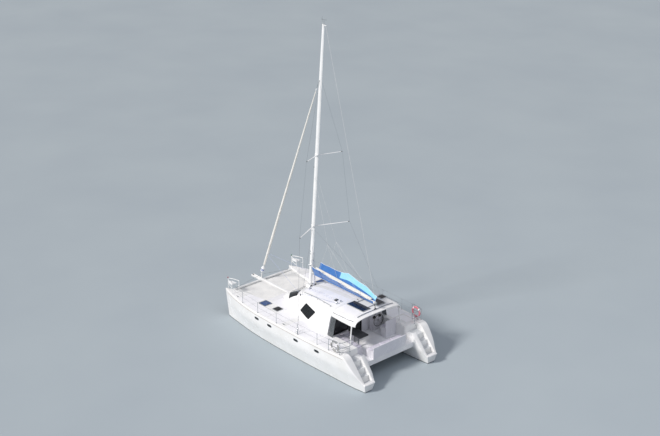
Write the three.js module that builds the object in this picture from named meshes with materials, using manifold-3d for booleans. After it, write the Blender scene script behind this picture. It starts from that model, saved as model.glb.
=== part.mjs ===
// A cruising sailing catamaran of the 38-foot class, as an assembly of separate pieces.
// Millimetres. +X is forward, +Y is port and +Z is up. The origin is amidships on the waterline.
import * as THREE from "three";
import { mergeVertices } from "three/addons/utils/BufferGeometryUtils.js";
import Module from "manifold-3d";

const wasm = await Module();
wasm.setup();

// Driving dimensions.
const GAP = 0.3; // left between two pieces that touch
const HULL_Y = 2300; // a hull's centreline from the boat's
const DECK_Z = 1720; // the flat side deck
const INNER_Y = 1700; // where a hull's inner side meets the bridgedeck
const SOLE_Z = 1080; // cockpit and saloon floor
const TUNNEL_Z = 800; // underside of the bridgedeck
const STERN_X = -5000; // aft end of the bridgedeck
const FRONT_X = 2900; // front end of the bridgedeck
const BULKHEAD_X = -2360; // aft face of the saloon
const BULKHEAD_T = 50;
const ROOF_END_X = -4100; // aft edge of the hardtop
const WALL = 50; // thickness of the cabin's walls and roof
const BEAM_X = 5450; // front crossbeam
const BEAM_Z = 1500;
const BEAM_R = 85;
const NET_FRONT_X = 5120; // front edge of the foredeck nets
const MAST_FOOT = new THREE.Vector3(1200, 0, 2760);
const MAST_TOP_Z = 17200;
const MAST_RAKE = 0.077; // metres aft for each metre up
const GOOSENECK_Z = 3500;
const GOOSENECK_BACK = 190; // boom pivot from the mast's centreline
const BOOM_END_X = -3950;
const BOOM_R = 75;
const STAY_TOP_Z = 14300;
const RUDDER_X = -5050;
const LEG_X = -3650; // saildrive leg
const PROP_Z = -820;
const CHAINPLATE = new THREE.Vector3(-1300, 3020, DECK_Z);

const COLOURS = {
  gelcoat: 0xf4f6f8,
  antifouling: 0x24323f,
  spar: 0xf1f4f6,
  steel: 0xc3c8cc,
  tinted: 0x15181d,
  bluePane: 0x35558f,
  net: 0xeceae8,
  blueCloth: 0x2a55b4,
  sail: 0xf3f1ea,
  cushion: 0xc9c6d6,
  teak: 0xb9a27f,
  black: 0x202226,
  bronze: 0xa9834a,
  red: 0xd0333c,
  buoyGrey: 0xc9c9c6,
  solar: 0x10141f,
  engine: 0x7f8b94,
};

const v = (x, y, z) => new THREE.Vector3(x, y, z);

// A closed geometry as a solid whose faces point outwards.
function solid(geometry) {
  const bare = geometry.clone();
  bare.deleteAttribute("normal");
  bare.deleteAttribute("uv");
  const merged = mergeVertices(bare, 1e-3);
  const found = Array.from(merged.index.array);
  const kept = [];
  for (let i = 0; i < found.length; i += 3) {
    const [a, b, c] = [found[i], found[i + 1], found[i + 2]];
    if (a !== b && b !== c && c !== a) kept.push(a, b, c);
  }
  const build = (list) =>
    new wasm.Manifold(
      new wasm.Mesh({
        numProp: 3,
        vertProperties: new Float32Array(merged.attributes.position.array),
        triVerts: new Uint32Array(list),
      }),
    );
  const made = build(kept);
  return made.volume() < 0 ? build(kept.reverse()) : made;
}

function geometryOf(body) {
  const { vertProperties, triVerts } = body.getMesh();
  const geometry = new THREE.BufferGeometry();
  geometry.setAttribute("position", new THREE.BufferAttribute(vertProperties, 3));
  geometry.setIndex(new THREE.BufferAttribute(triVerts, 1));
  return geometry;
}

const join = (bodies) => bodies.reduce((all, body) => all.add(body));

// The same body on the other side of the boat.
function mirrored(body) {
  const geometry = geometryOf(body).scale(1, -1, 1);
  return solid(geometry);
}

const moved = (body, x, y, z) => solid(geometryOf(body).translate(x, y, z));

function block(x0, x1, y0, y1, z0, z1) {
  const box = new THREE.BoxGeometry(x1 - x0, y1 - y0, z1 - z0);
  return solid(box.translate((x0 + x1) / 2, (y0 + y1) / 2, (z0 + z1) / 2));
}

// An outline in X and Z carried from y0 to y1.
function sideways(outline, y0, y1) {
  const shape = new THREE.Shape(outline.map(([x, z]) => new THREE.Vector2(x, z)));
  const geometry = new THREE.ExtrudeGeometry(shape, { depth: y1 - y0, bevelEnabled: false });
  return solid(geometry.rotateX(Math.PI / 2).translate(0, y1, 0));
}

// An outline in X and Y carried from z0 to z1.
function upwards(outline, z0, z1) {
  const shape = new THREE.Shape(outline.map(([x, y]) => new THREE.Vector2(x, y)));
  const geometry = new THREE.ExtrudeGeometry(shape, { depth: z1 - z0, bevelEnabled: false });
  return solid(geometry.translate(0, 0, z0));
}

// A skin over rings of points, all with the same count, closed by a face at each end.
function loft(rings, flat = (p) => new THREE.Vector2(p.y, p.z)) {
  const count = rings[0].length;
  const points = rings.flat();
  const faces = [];
  for (let i = 0; i + 1 < rings.length; i++)
    for (let j = 0; j < count; j++) {
      const k = (j + 1) % count;
      const [a, b, c, d] = [i * count + j, i * count + k, (i + 1) * count + k, (i + 1) * count + j];
      faces.push(a, b, c, a, c, d);
    }
  for (const [ring, start, turn] of [
    [rings[0], 0, true],
    [rings.at(-1), (rings.length - 1) * count, false],
  ]) {
    const outline = ring.map(flat);
    const forward = THREE.ShapeUtils.area(outline) > 0;
    const order = forward ? outline : outline.slice().reverse();
    for (const triangle of THREE.ShapeUtils.triangulateShape(order, [])) {
      const found = triangle.map((n) => start + (forward ? n : count - 1 - n));
      faces.push(...(turn === forward ? found.reverse() : found));
    }
  }
  const geometry = new THREE.BufferGeometry().setFromPoints(points);
  geometry.setIndex(faces);
  return solid(geometry);
}

// A body turned about the line from a to b. Each row of the profile is the share of the way along
// and the radius there; the section may be flattened along Y.
function turned(a, b, profile, sides = 12, flatten = 1) {
  const along = b.clone().sub(a);
  const length = along.length();
  const line = profile.map(([part, radius]) => new THREE.Vector2(radius, part * length));
  const ends = [new THREE.Vector2(0, line[0].y), ...line, new THREE.Vector2(0, line.at(-1).y)];
  const geometry = new THREE.LatheGeometry(ends, sides).rotateX(Math.PI / 2).scale(1, flatten, 1);
  const turn = new THREE.Quaternion().setFromUnitVectors(v(0, 0, 1), along.normalize());
  return solid(geometry.applyQuaternion(turn).translate(a.x, a.y, a.z));
}

// A round bar from a to b; its radius may change and its section may be flattened along Y.
const bar = (a, b, r0, r1 = r0, sides = 8, flatten = 1) => turned(a, b, [[0, r0], [1, r1]], sides, flatten);

// A bent round tube through some points.
function tube(points, radius, sides = 8, steps = 6 * points.length) {
  const path = new THREE.CatmullRomCurve3(points, false, "centripetal");
  const corner = (_, i) => new THREE.Vector2(radius, 0).rotateAround(new THREE.Vector2(), (2 * Math.PI * i) / sides);
  const shape = new THREE.Shape(Array.from({ length: sides }, corner));
  return solid(new THREE.ExtrudeGeometry(shape, { steps, extrudePath: path, bevelEnabled: false }));
}

const boat = new THREE.Group();
boat.name = "sailing_catamaran";
const starboard = new THREE.Group();
starboard.scale.y = -1; // what is added here stands on the other side of the boat
boat.add(starboard);

function add(name, body, colour, finish = {}, group = boat) {
  const { roughness = 0.35, metalness = 0 } = finish;
  const material = new THREE.MeshStandardMaterial({ color: COLOURS[colour], roughness, metalness });
  const mesh = new THREE.Mesh(geometryOf(body), material);
  mesh.name = name;
  group.add(mesh);
}

// A piece that the boat has on both sides.
function addPair(name, body, colour, finish = {}) {
  add(`port_${name}`, body, colour, finish);
  add(`starboard_${name}`, body, colour, finish, starboard);
}

const METAL = { roughness: 0.25, metalness: 1 };
const CLOTH = { roughness: 0.9 };
const GLASS = { roughness: 0.08 };

// Hulls. Each row is one section: where its deck and its keel stand along the boat, the keel's
// depth, the waterline outside and inside, the deck's edge outside and inside, the deck's height.
const HULL_SECTIONS = [
  [5750, 5480, -200, 2308, 2292, 2335, 2265, 1620],
  [5300, 5080, -400, 2385, 2215, 2500, 2120, 1650],
  [4500, 4350, -520, 2475, 2110, 2740, 1930, 1685],
  [3500, 3420, -600, 2590, 1990, 2950, 1770, 1710],
  [2900, 2850, -630, 2640, 1940, 3040, INNER_Y, DECK_Z],
  [2200, 2180, -650, 2680, 1900, 3095, INNER_Y, DECK_Z],
  [500, 500, -670, 2715, 1865, 3130, INNER_Y, DECK_Z],
  [-1500, -1500, -640, 2700, 1865, 3120, INNER_Y, DECK_Z],
  [-3200, -3200, -500, 2640, 1880, 3070, INNER_Y, DECK_Z],
  [-4400, -4400, -340, 2600, 1910, 3000, INNER_Y, DECK_Z],
  [-5000, -4980, -240, 2570, 1940, 2950, INNER_Y, DECK_Z],
  [-5450, -5350, -170, 2530, 1970, 2890, 1740, DECK_Z],
  [-6150, -5800, -60, 2470, 2010, 2800, 1800, DECK_Z],
];
const BILGE = [0.35, 0.62, 0.84, 0.96]; // share of the half breadth, up from the keel

function hullRing([xDeck, xKeel, keelZ, outWater, inWater, outDeck, inDeck, deckZ]) {
  const middle = (outWater + inWater) / 2;
  const at = (y, z) => v(THREE.MathUtils.mapLinear(z, keelZ, deckZ, xKeel, xDeck), y, z);
  const below = (edge) => BILGE.map((part) => {
    const drop = Math.sqrt(1 - part * part);
    return at(middle + (edge - middle) * part, keelZ * drop);
  });
  const wale = 0.62 * deckZ; // the topside is a little fuller here than a straight line
  const outer = [at(outWater, 0), at(outWater + 0.42 * (outDeck - outWater), 0.3 * deckZ)];
  outer.push(at(outWater + 0.86 * (outDeck - outWater), wale), at(outDeck, deckZ - 60));
  const deck = [at(outDeck - 45, deckZ), at(inDeck + 20, deckZ), at(inDeck, deckZ - 20)];
  const inner = [at(inDeck, TUNNEL_Z - 60), at(inDeck + 0.55 * (inWater - inDeck), 0.5 * TUNNEL_Z)];
  return [at(middle, keelZ), ...below(outWater), ...outer, ...deck, ...inner, at(inWater, 0),
    ...below(inWater).reverse()];
}

// Steps down the stern, each with its front and back edge and height.
const STEPS = [
  [-4400, -4920, 1360],
  [-4920, -5220, 1040],
  [-5220, -5500, 720],
  [-5500, -5790, 400],
];
const STEP_Y = [1950, 2520];
const BULWARK = [[-4600, 1760], [-4800, 1640], [-5000, 1440], [-5250, 1160], [-5520, 850], [-5760, 570],
  [-5880, 480], [-6400, 470], [-6400, 2000], [-4600, 2000]];
const ENGINE_ROOM = { x: [-4120, -3320], y: [2060, 2620], z: 300 };
const HATCH_WELL = 350; // depth of the opening under a deck hatch
// Deck hatches on each foredeck: centre along and across, length, width, pane colour.
const DECK_HATCHES = [
  ["fore_hatch", 2600, 2020, 560, 540, "bluePane"],
  ["cabin_hatch", 1620, 1960, 440, 440, "tinted"],
];
// Raised flat pads for the mooring cleats: centre along and across, and the height of the top.
const CLEAT_PADS = [
  [4300, 2620, 1700],
  [0, 2900, DECK_Z + 8],
  [-4250, 2755, DECK_Z + 8],
];
const CLEAT_PAD = { length: 220, width: 70, depth: 40 };
const RUDDER_STOCK_R = 22;

let hull = loft(HULL_SECTIONS.map(hullRing));
hull = hull.subtract(sideways(BULWARK, 1500, 3300));
for (const [front, back, z] of STEPS)
  hull = hull.subtract(block(back, front, STEP_Y[0], STEP_Y[1], z, 2100));
hull = hull.subtract(block(STEPS[0][1], STEPS[0][0], INNER_Y - 60, STEP_Y[0] + 1, STEPS[0][2], 2100));
hull = hull.subtract(block(...ENGINE_ROOM.x, ...ENGINE_ROOM.y, ENGINE_ROOM.z, 2000));
for (const [, x, y, length, width] of DECK_HATCHES) {
  const [half, side] = [length / 2 - 40, width / 2 - 40];
  hull = hull.subtract(block(x - half, x + half, y - side, y + side, DECK_Z - HATCH_WELL, 2000));
}
hull = hull.subtract(block(LEG_X - 130, LEG_X + 170, HULL_Y - 55, HULL_Y + 55, -1000, ENGINE_ROOM.z + 1));
hull = hull.subtract(bar(v(RUDDER_X, HULL_Y, -400), v(RUDDER_X, HULL_Y, 60), RUDDER_STOCK_R + 3, undefined, 16));
for (const [x, y, top] of CLEAT_PADS) {
  const { length, width, depth } = CLEAT_PAD;
  hull = hull.add(block(x - length / 2, x + length / 2, y - width / 2, y + width / 2, top - depth, top));
}
addPair("hull", hull, "gelcoat");

// Small keels under each hull, as a lofted foil.
const KEEL = { x: 500, chord: [2300, 1700], thick: [260, 130], top: -560, foot: -1150 };
function foilRing(x, y, z, chord, thick) {
  const half = [0, 0.03, 0.12, 0.3, 0.55, 0.8];
  const width = [0, 0.42, 0.8, 1, 0.85, 0.45];
  const side = half.map((part, i) => v(x + chord * (0.5 - part), y + (thick * width[i]) / 2, z));
  const tail = v(x - chord / 2, y, z);
  const other = side.slice(1).reverse().map((p) => v(p.x, 2 * y - p.y, z));
  return [...side, tail, ...other];
}
const plan = (p) => new THREE.Vector2(p.x, p.y);
const hullBelow = moved(hull, 0, 0, -GAP);
const keel = loft([
  foilRing(KEEL.x, HULL_Y, KEEL.top, KEEL.chord[0], KEEL.thick[0]),
  foilRing(KEEL.x - 120, HULL_Y, KEEL.foot, KEEL.chord[1], KEEL.thick[1]),
], plan).subtract(hullBelow);
addPair("keel", keel, "antifouling", { roughness: 0.8 });

// Rudders: blade and stock.
const RUDDER = { chord: [430, 330], thick: [70, 45], top: -300, foot: -1080, balance: 90 };
const blade = loft([
  foilRing(RUDDER_X - RUDDER.chord[0] / 2 + RUDDER.balance, HULL_Y, RUDDER.top, RUDDER.chord[0], RUDDER.thick[0]),
  foilRing(RUDDER_X - RUDDER.chord[1] / 2 + RUDDER.balance, HULL_Y, RUDDER.foot, RUDDER.chord[1], RUDDER.thick[1]),
], plan);
const stock = bar(v(RUDDER_X, HULL_Y, RUDDER.top - 200), v(RUDDER_X, HULL_Y, 60 - GAP), RUDDER_STOCK_R, undefined, 16);
addPair("rudder", blade.add(stock), "antifouling", { roughness: 0.8 });

// Saildrives: the engine, its leg through the hull's bottom, and the propeller.
const LEG = { chord: 260, thick: 90, top: 320, hub: 62, front: 210, back: 150 };
const hub = bar(v(LEG_X - LEG.back, HULL_Y, PROP_Z), v(LEG_X + LEG.front, HULL_Y, PROP_Z), LEG.hub, 30, 12);
const leg = loft([
  foilRing(LEG_X + 20, HULL_Y, LEG.top, LEG.chord, LEG.thick),
  foilRing(LEG_X + 20, HULL_Y, PROP_Z, LEG.chord - 40, LEG.thick),
], plan).add(hub).add(block(-4020, -3380, 2110, 2570, ENGINE_ROOM.z + GAP, 900));
addPair("saildrive", leg, "engine", { roughness: 0.5 });
const PROP = { blades: 3, r: 210, hub: 48, length: 110, face: LEG_X - LEG.back - 0.6 };
const propParts = [bar(v(PROP.face - PROP.length, HULL_Y, PROP_Z), v(PROP.face, HULL_Y, PROP_Z), 30, PROP.hub, 12)];
for (let i = 0; i < PROP.blades; i++) {
  const bladeBox = new THREE.BoxGeometry(16, 110, PROP.r - 20);
  bladeBox.rotateZ(0.5).translate(0, 0, PROP.r / 2 + 10).rotateX((2 * Math.PI * i) / PROP.blades);
  propParts.push(solid(bladeBox.translate(PROP.face - 55, HULL_Y, PROP_Z)));
}
addPair("propeller", join(propParts), "bronze", METAL);

// Cabin shell. Each row is one section: its place, the half breadth at the deck and at the
// shoulder, the shoulder's height and the crown's height above the waterline.
const CABIN_SECTIONS = [
  [2700, 560, 420, 1800, 1815],
  [2450, 860, 660, 1930, 1990],
  [2100, 1080, 830, 2100, 2200],
  [1600, 1290, 980, 2330, 2450],
  [1000, 1480, 1110, 2560, 2730],
  [400, 1620, 1230, 2680, 2900],
  [-300, 1740, 1350, 2760, 3000],
  [-1200, 1850, 1480, 2820, 3060],
  [BULKHEAD_X, 1940, 1600, 2860, 3100],
];

// Bridgedeck: the deck ahead of and beside the saloon, and the lower floor of saloon and cockpit.
const DECK_END_X = BULKHEAD_X + BULKHEAD_T + 1 + GAP;
const BRIDGE = [[STERN_X, TUNNEL_Z], [1200, TUNNEL_Z], [2200, 900], [2700, 1120], [FRONT_X, 1400],
  [FRONT_X, DECK_Z], [DECK_END_X, DECK_Z], [DECK_END_X, SOLE_Z], [STERN_X, SOLE_Z]];
const LEDGE = 40; // deck left inside the cabin's walls, around the saloon's well
const wellSide = CABIN_SECTIONS.filter(([x]) => x <= 1600)
  .map(([x, base]) => [x === BULKHEAD_X ? x - 100 : x, Math.min(base - WALL, INNER_Y) - LEDGE]);
const WELL_OUTLINE = [...wellSide, ...wellSide.slice().reverse().map(([x, y]) => [x, -y])];
const bridgedeck = sideways(BRIDGE, GAP - INNER_Y, INNER_Y - GAP).subtract(upwards(WELL_OUTLINE, SOLE_Z, 2000));
const windlassPad = block(2745, 2885, 250, 430, DECK_Z - 20, DECK_Z + 10);
add("bridgedeck", bridgedeck.add(windlassPad), "gelcoat");

const ROOF_SECTIONS = [
  [BULKHEAD_X - GAP, 1600, 2860, 3100],
  [-3200, 1650, 2870, 3105],
  [-3900, 1640, 2860, 3085],
  [ROOF_END_X, 1560, 2850, 3060],
];

// Half of an arch from the deck up to the crown: a leaning side, a rounded shoulder and a flat crown.
function cabinHalf(base, shoulder, shoulderZ, crownZ, inset, bottom) {
  const rise = crownZ - shoulderZ;
  const line = [[base - inset, bottom], [base - inset, DECK_Z + GAP + 60]];
  line.push([shoulder + 60 - inset, shoulderZ - 0.35 * rise]);
  for (const part of [0.25, 0.5, 0.75, 1])
    line.push([(shoulder - inset) * Math.cos((part * Math.PI) / 2.6) + 30 * (1 - part),
      shoulderZ + (rise - inset) * Math.sin((part * Math.PI) / 2)]);
  return line;
}

function cabinRing([x, base, shoulder, shoulderZ, crownZ], inset, bottom) {
  const half = cabinHalf(base, shoulder, shoulderZ, crownZ, inset, bottom);
  const port = half.map(([y, z]) => v(x, y, z));
  const top = v(x, 0, crownZ - inset);
  const other = half.slice().reverse().map(([y, z]) => v(x, -y, z));
  return [...port, top, ...other];
}

// The whole cabin volume, drawn in from its outside by inset.
function cabinVolume(inset, bottom) {
  const rows = CABIN_SECTIONS.map(([x, ...rest]) => {
    const shift = x === BULKHEAD_X ? (inset > 0 ? -50 : 0) : -inset * 1.4;
    return [x + shift, ...rest];
  });
  return loft(rows.map((row) => cabinRing(row, inset, bottom)));
}

const cabinOuter = cabinVolume(0, DECK_Z + GAP);
const cabinInner = cabinVolume(WALL, DECK_Z - 50);
// Window outlines: the wraparound band across the raked front, seen from above, and the side
// window, seen from the side.
const FRONT_BAND = [[2080, 0], [2060, 420], [1960, 760], [1700, 1130], [900, 1180], [1010, 820], [1160, 720],
  [1160, 260], [1480, 200], [1480, 0]];
const FRONT_BAND_OUTLINE = [...FRONT_BAND, ...FRONT_BAND.slice(1, -1).reverse().map(([x, y]) => [x, -y])];
const SIDE_WINDOW = [[250, 2040], [-110, 2560], [-1110, 2450], [-640, 1880]];
const SEAM = 1; // a window's edge stands this far inside its cut-out

// The outline moved inwards by SEAM, square to each side.
function drawnIn(outline) {
  const points = outline.map(([a, b]) => new THREE.Vector2(a, b));
  const turn = THREE.ShapeUtils.area(points) > 0 ? 1 : -1;
  return points.map((point, i) => {
    const before = point.clone().sub(points.at(i - 1)).normalize();
    const after = points[(i + 1) % points.length].clone().sub(point).normalize();
    const normals = [before, after].map((side) => new THREE.Vector2(-side.y, side.x).multiplyScalar(turn));
    const both = normals[0].clone().add(normals[1]);
    return point.clone().addScaledVector(both, SEAM / (1 + normals[0].dot(normals[1]))).toArray();
  });
}

const shell = cabinOuter.subtract(cabinInner);
const bandCutter = (outline) => upwards(outline, 1900, 3000);
// Flat step that carries the mast.
let cabin = shell.add(block(1010, 1390, -170, 170, 2500, MAST_FOOT.z - GAP));
cabin = cabin.subtract(bandCutter(FRONT_BAND_OUTLINE));
cabin = cabin.subtract(sideways(SIDE_WINDOW, 800, 2300)).subtract(sideways(SIDE_WINDOW, -2300, -800));
const frontWindow = shell.intersect(bandCutter(drawnIn(FRONT_BAND_OUTLINE)));
const sideWindow = shell.intersect(sideways(drawnIn(SIDE_WINDOW), 800, 2300));
add("cabin_shell", cabin, "gelcoat");
add("front_window", frontWindow, "tinted", GLASS);
addPair("side_window", sideWindow, "tinted", GLASS);

// Aft bulkhead of the saloon with its doorway and fixed window.
const DOOR = { y: [-420, 420], z: [SOLE_Z + 60, 2780] };
const BULK_WINDOW = { y: [500, 1500], z: [1560, 2700] };
const bulkX = [BULKHEAD_X + 1, BULKHEAD_X + 1 + BULKHEAD_T];
const bulkheadUpper = cabinVolume(WALL + GAP, SOLE_Z + GAP).intersect(block(...bulkX, -2500, 2500, DECK_Z + GAP, 3200));
const bulkheadLower = block(...bulkX, GAP - INNER_Y, INNER_Y - GAP, SOLE_Z + GAP, DECK_Z + 1);
let bulkhead = bulkheadUpper.add(bulkheadLower);
bulkhead = bulkhead.subtract(block(-2500, -2200, ...DOOR.y, ...DOOR.z));
bulkhead = bulkhead.subtract(block(-2500, -2200, ...BULK_WINDOW.y, ...BULK_WINDOW.z));
add("saloon_bulkhead", bulkhead, "gelcoat");
add("bulkhead_window", block(bulkX[0] + 15, bulkX[0] + 27, BULK_WINDOW.y[0] + GAP, BULK_WINDOW.y[1] - GAP,
  BULK_WINDOW.z[0] + GAP, BULK_WINDOW.z[1] - GAP), "tinted", GLASS);
// The sliding door hangs on the cockpit side and covers the doorway.
const DOOR_X = [BULKHEAD_X - 36, BULKHEAD_X - 0.6];
const door = block(...DOOR_X, DOOR.y[0] - 40, DOOR.y[1] + 40, DOOR.z[0] - 40, DOOR.z[1] + 40)
  .add(block(DOOR_X[0], bulkX[0] - 0.6, DOOR.y[0] - 40, DOOR.y[1] + 40, DOOR.z[1], DOOR.z[1] + 40));
add("saloon_door", door, "tinted", GLASS);

// Hardtop over the cockpit with its posts, and a fixed screen on each side.
const LIP = 60;
function roofRing([x, shoulder, shoulderZ, crownZ]) {
  const line = (inset, drop) => {
    const half = cabinHalf(shoulder, shoulder, shoulderZ, crownZ, inset, 0).slice(2);
    const [edge, ...arch] = half;
    const port = [[edge[0], edge[1] - drop], ...arch].map(([y, z]) => v(x, y, z));
    const other = port.slice().reverse().map((p) => v(x, -p.y, p.z));
    return [...port, v(x, 0, crownZ - inset), ...other];
  };
  return [...line(0, LIP), ...line(WALL, LIP).reverse()];
}
let hardtop = loft(ROOF_SECTIONS.map(roofRing));
for (const side of [-1, 1])
  hardtop = hardtop.add(bar(v(-3950, side * 1790, DECK_Z + GAP), v(-3900, side * 1640, 2830), 38, 38, 12)
    .subtract(block(-4200, -3700, -2500, 2500, 1500, DECK_Z + GAP)));
// Skylight over the helm.
const SKYLIGHT = { x: -3020, y: -1300, size: 400 };
const skyHalf = SKYLIGHT.size / 2 - 40;
hardtop = hardtop.subtract(block(SKYLIGHT.x - skyHalf, SKYLIGHT.x + skyHalf, SKYLIGHT.y - skyHalf,
  SKYLIGHT.y + skyHalf, 2700, 3300));
const SKY_PAD_Z = 3090;
hardtop = hardtop.add(block(SKYLIGHT.x - 200, SKYLIGHT.x + 200, SKYLIGHT.y - 200, SKYLIGHT.y + 200, 2950, SKY_PAD_Z)
  .subtract(block(SKYLIGHT.x - skyHalf, SKYLIGHT.x + skyHalf, SKYLIGHT.y - skyHalf, SKYLIGHT.y + skyHalf, 2700, 3300)));
// Flat seats for the two solar panels.
const SOLAR = { x: [-3680, -2470], y: [130, 680], base: 3112 };
hardtop = hardtop.add(block(...SOLAR.x, ...SOLAR.y, 3060, SOLAR.base));
hardtop = hardtop.add(block(...SOLAR.x, -SOLAR.y[1] - 240, -SOLAR.y[0] - 240, 3050, SOLAR.base));
add("hardtop", hardtop, "gelcoat");
const panel = block(...SOLAR.x, ...SOLAR.y, SOLAR.base + GAP, SOLAR.base + 30);
let panels = panel.add(moved(panel, 0, -SOLAR.y[0] - SOLAR.y[1] - 240, 0));
for (const x of [SOLAR.x[0] + 200, SOLAR.x[1] - 200])
  panels = panels.add(block(x - 15, x + 15, -400, 200, SOLAR.base + 5, SOLAR.base + 25));
add("solar_panels", panels, "solar", GLASS);
const screen = loft([
  [v(-2780, 1925, DECK_Z + GAP), v(-2420, 1925, DECK_Z + GAP), v(-2420, 1937, DECK_Z + GAP), v(-2780, 1937, DECK_Z + GAP)],
  [v(-2780, 1700, 2705), v(-2420, 1668, 2705), v(-2420, 1680, 2705), v(-2780, 1712, 2705)],
], plan);
addPair("side_screen", screen, "tinted", GLASS);

// Deck hatch lids, the engine room lids and the skylight's lid.
const LID_T = 28;
const LID_GAP = 0.6;
const deckLid = (x, y, length, width, z = DECK_Z) =>
  block(x - length / 2, x + length / 2, y - width / 2, y + width / 2, z + LID_GAP, z + LID_T);
for (const [name, x, y, length, width, pane] of DECK_HATCHES) addPair(name, deckLid(x, y, length, width), pane, GLASS);
const [roomX, roomY] = [ENGINE_ROOM.x, ENGINE_ROOM.y];
addPair("engine_hatch", deckLid((roomX[0] + roomX[1]) / 2, (roomY[0] + roomY[1]) / 2, roomX[1] - roomX[0] + 80,
  roomY[1] - roomY[0] + 80), "gelcoat");
add("helm_skylight", deckLid(SKYLIGHT.x, SKYLIGHT.y, SKYLIGHT.size, SKYLIGHT.size, SKY_PAD_Z), "tinted", GLASS);

// Cockpit furniture.
const SEAT_Z = 1480;
const [benchX, benchY] = [[-4950, -4480], [-1150, 1150]];
const bench = block(...benchX, ...benchY, SOLE_Z + GAP, SEAT_Z)
  .add(block(STERN_X + 2, benchX[0] + 1, ...benchY, SOLE_Z + GAP, 1690))
  .subtract(block(benchX[0] + 80, benchX[1] - 30, benchY[0] + 30, benchY[1] - 30, SOLE_Z + 30, 1900));
add("aft_bench", bench, "gelcoat");
const LID_HINGE_X = benchX[0] + 50;
add("aft_bench_lid", block(LID_HINGE_X, benchX[1] - 5, ...benchY, SEAT_Z + LID_GAP, SEAT_Z + 45), "cushion", CLOTH);
const settee = block(-4200, -2420, 1150, INNER_Y - GAP, SOLE_Z + GAP, SEAT_Z)
  .add(block(-2900, -2420, 560, 1151, SOLE_Z + GAP, SEAT_Z));
add("cockpit_settee", settee, "gelcoat");
const settleTop = block(-4190, -2430, 1160, INNER_Y - 5, SEAT_Z + GAP, SEAT_Z + 70)
  .add(block(-2890, -2430, 570, 1161, SEAT_Z + GAP, SEAT_Z + 70));
add("cockpit_cushion", settleTop, "cushion", CLOTH);
const table = block(-3900, -3050, 420, 1060, 1780, 1812).add(bar(v(-3470, 760, SOLE_Z + GAP), v(-3470, 760, 1781), 55, 45, 12));
add("cockpit_table", table, "gelcoat");
const HELM_Y = -1300;
const consoleBody = block(-2720, -2420, HELM_Y - 300, HELM_Y + 300, SOLE_Z + GAP, 1900)
  .subtract(sideways([[-2730, 1720], [-2600, 1910], [-2730, 1910]], -1700, -900));
add("helm_console", consoleBody, "gelcoat");
add("helm_seat", block(-3720, -3320, HELM_Y - 390, HELM_Y + 350, SOLE_Z + GAP, 1620)
  .add(block(-3720, -3660, HELM_Y - 390, HELM_Y + 350, 1610, 2000)), "gelcoat");
const WHEEL = { x: -2800, z: 1640, r: 330, rim: 15, hub: 48, shaft: 18, spokes: 5 };
const wheelParts = [solid(new THREE.TorusGeometry(WHEEL.r, WHEEL.rim, 8, 30).rotateY(Math.PI / 2))];
wheelParts.push(bar(v(-25, 0, 0), v(25, 0, 0), WHEEL.hub, undefined, 16), bar(v(0, 0, 0), v(79.4, 0, 0), WHEEL.shaft, undefined, 12));
for (let i = 0; i < WHEEL.spokes; i++) {
  const angle = (2 * Math.PI * i) / WHEEL.spokes;
  wheelParts.push(bar(v(0, 0, 0), v(0, WHEEL.r * Math.sin(angle), WHEEL.r * Math.cos(angle)), 9, 9, 8));
}
add("steering_wheel", moved(join(wheelParts), WHEEL.x, HELM_Y, WHEEL.z), "black", METAL);

// What shows through the saloon's windows.
const saloonSofa = block(250, 1300, -1270, 200, SOLE_Z + GAP, 1500)
  .subtract(block(249, 860, -830, 201, SOLE_Z, 1600));
const dinette = saloonSofa.add(block(300, 800, -760, 60, 1760, 1795))
  .add(bar(v(550, -350, SOLE_Z + GAP), v(550, -350, 1761), 60, 45, 12))
  .add(block(500, 900, -380, -320, SOLE_Z + GAP, SOLE_Z + 60));
add("saloon_dinette", dinette, "teak");
add("galley_counter", block(-1900, 0, 1050, 1560, SOLE_Z + GAP, 1690), "teak");

// Front crossbeam with its striker, between the bows.
const hullInward = moved(hull, 0, -GAP, 0);
let crossbeam = bar(v(BEAM_X, -2350, BEAM_Z), v(BEAM_X, 2350, BEAM_Z), BEAM_R, BEAM_R, 16);
crossbeam = crossbeam.subtract(hullInward).subtract(mirrored(hullInward));
crossbeam = crossbeam.intersect(block(5000, 6000, -2290, 2290, 1000, 2000));
const STRIKER_Z = 1900;
crossbeam = crossbeam.add(bar(v(BEAM_X, 0, BEAM_Z), v(BEAM_X, 0, STRIKER_Z), 40, 32, 10));
for (const side of [-1, 1])
  crossbeam = crossbeam.add(bar(v(BEAM_X, side * 1900, BEAM_Z + 60), v(BEAM_X, 0, STRIKER_Z - 20), 12, 12, 8));

// Middle beam from the bridgedeck to the bow roller.
const MID = { half: 85, top: 1620, bottom: 1490, tip: 6330 };
const frontBeams = crossbeam.add(block(FRONT_X + GAP, BEAM_X, -MID.half, MID.half, MID.bottom, MID.top))
  .add(block(BEAM_X, MID.tip - 60, -60, 60, 1470, 1500))
  .add(block(BEAM_X, MID.tip, -60, -48, 1470, 1600))
  .add(block(BEAM_X, MID.tip, 48, 60, 1470, 1600))
  .add(bar(v(MID.tip - 40, -60, 1550), v(MID.tip - 40, 60, 1550), 38, 38, 12));
add("front_crossbeam", frontBeams, "spar", METAL);

// Foredeck nets: each runs from the middle beam to the hull and stops short of the crossbeam.
const NET_Z = [1588, 1600];
const netOutline = [[FRONT_X + GAP, MID.half + GAP], [NET_FRONT_X, MID.half + GAP], [NET_FRONT_X, 2300], [FRONT_X + GAP, 2300]];
let net = upwards(netOutline, ...NET_Z).subtract(hullInward);
for (let i = 0; i < 9; i++) {
  const y = 190 + i * 215;
  net = net.add(bar(v(NET_FRONT_X - 10, y, 1594), v(BEAM_X - 40, y, 1574), 5, 5, 6));
}
net = net.subtract(moved(frontBeams, -GAP, 0, GAP));
addPair("foredeck_net", net, "net", CLOTH);

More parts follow.
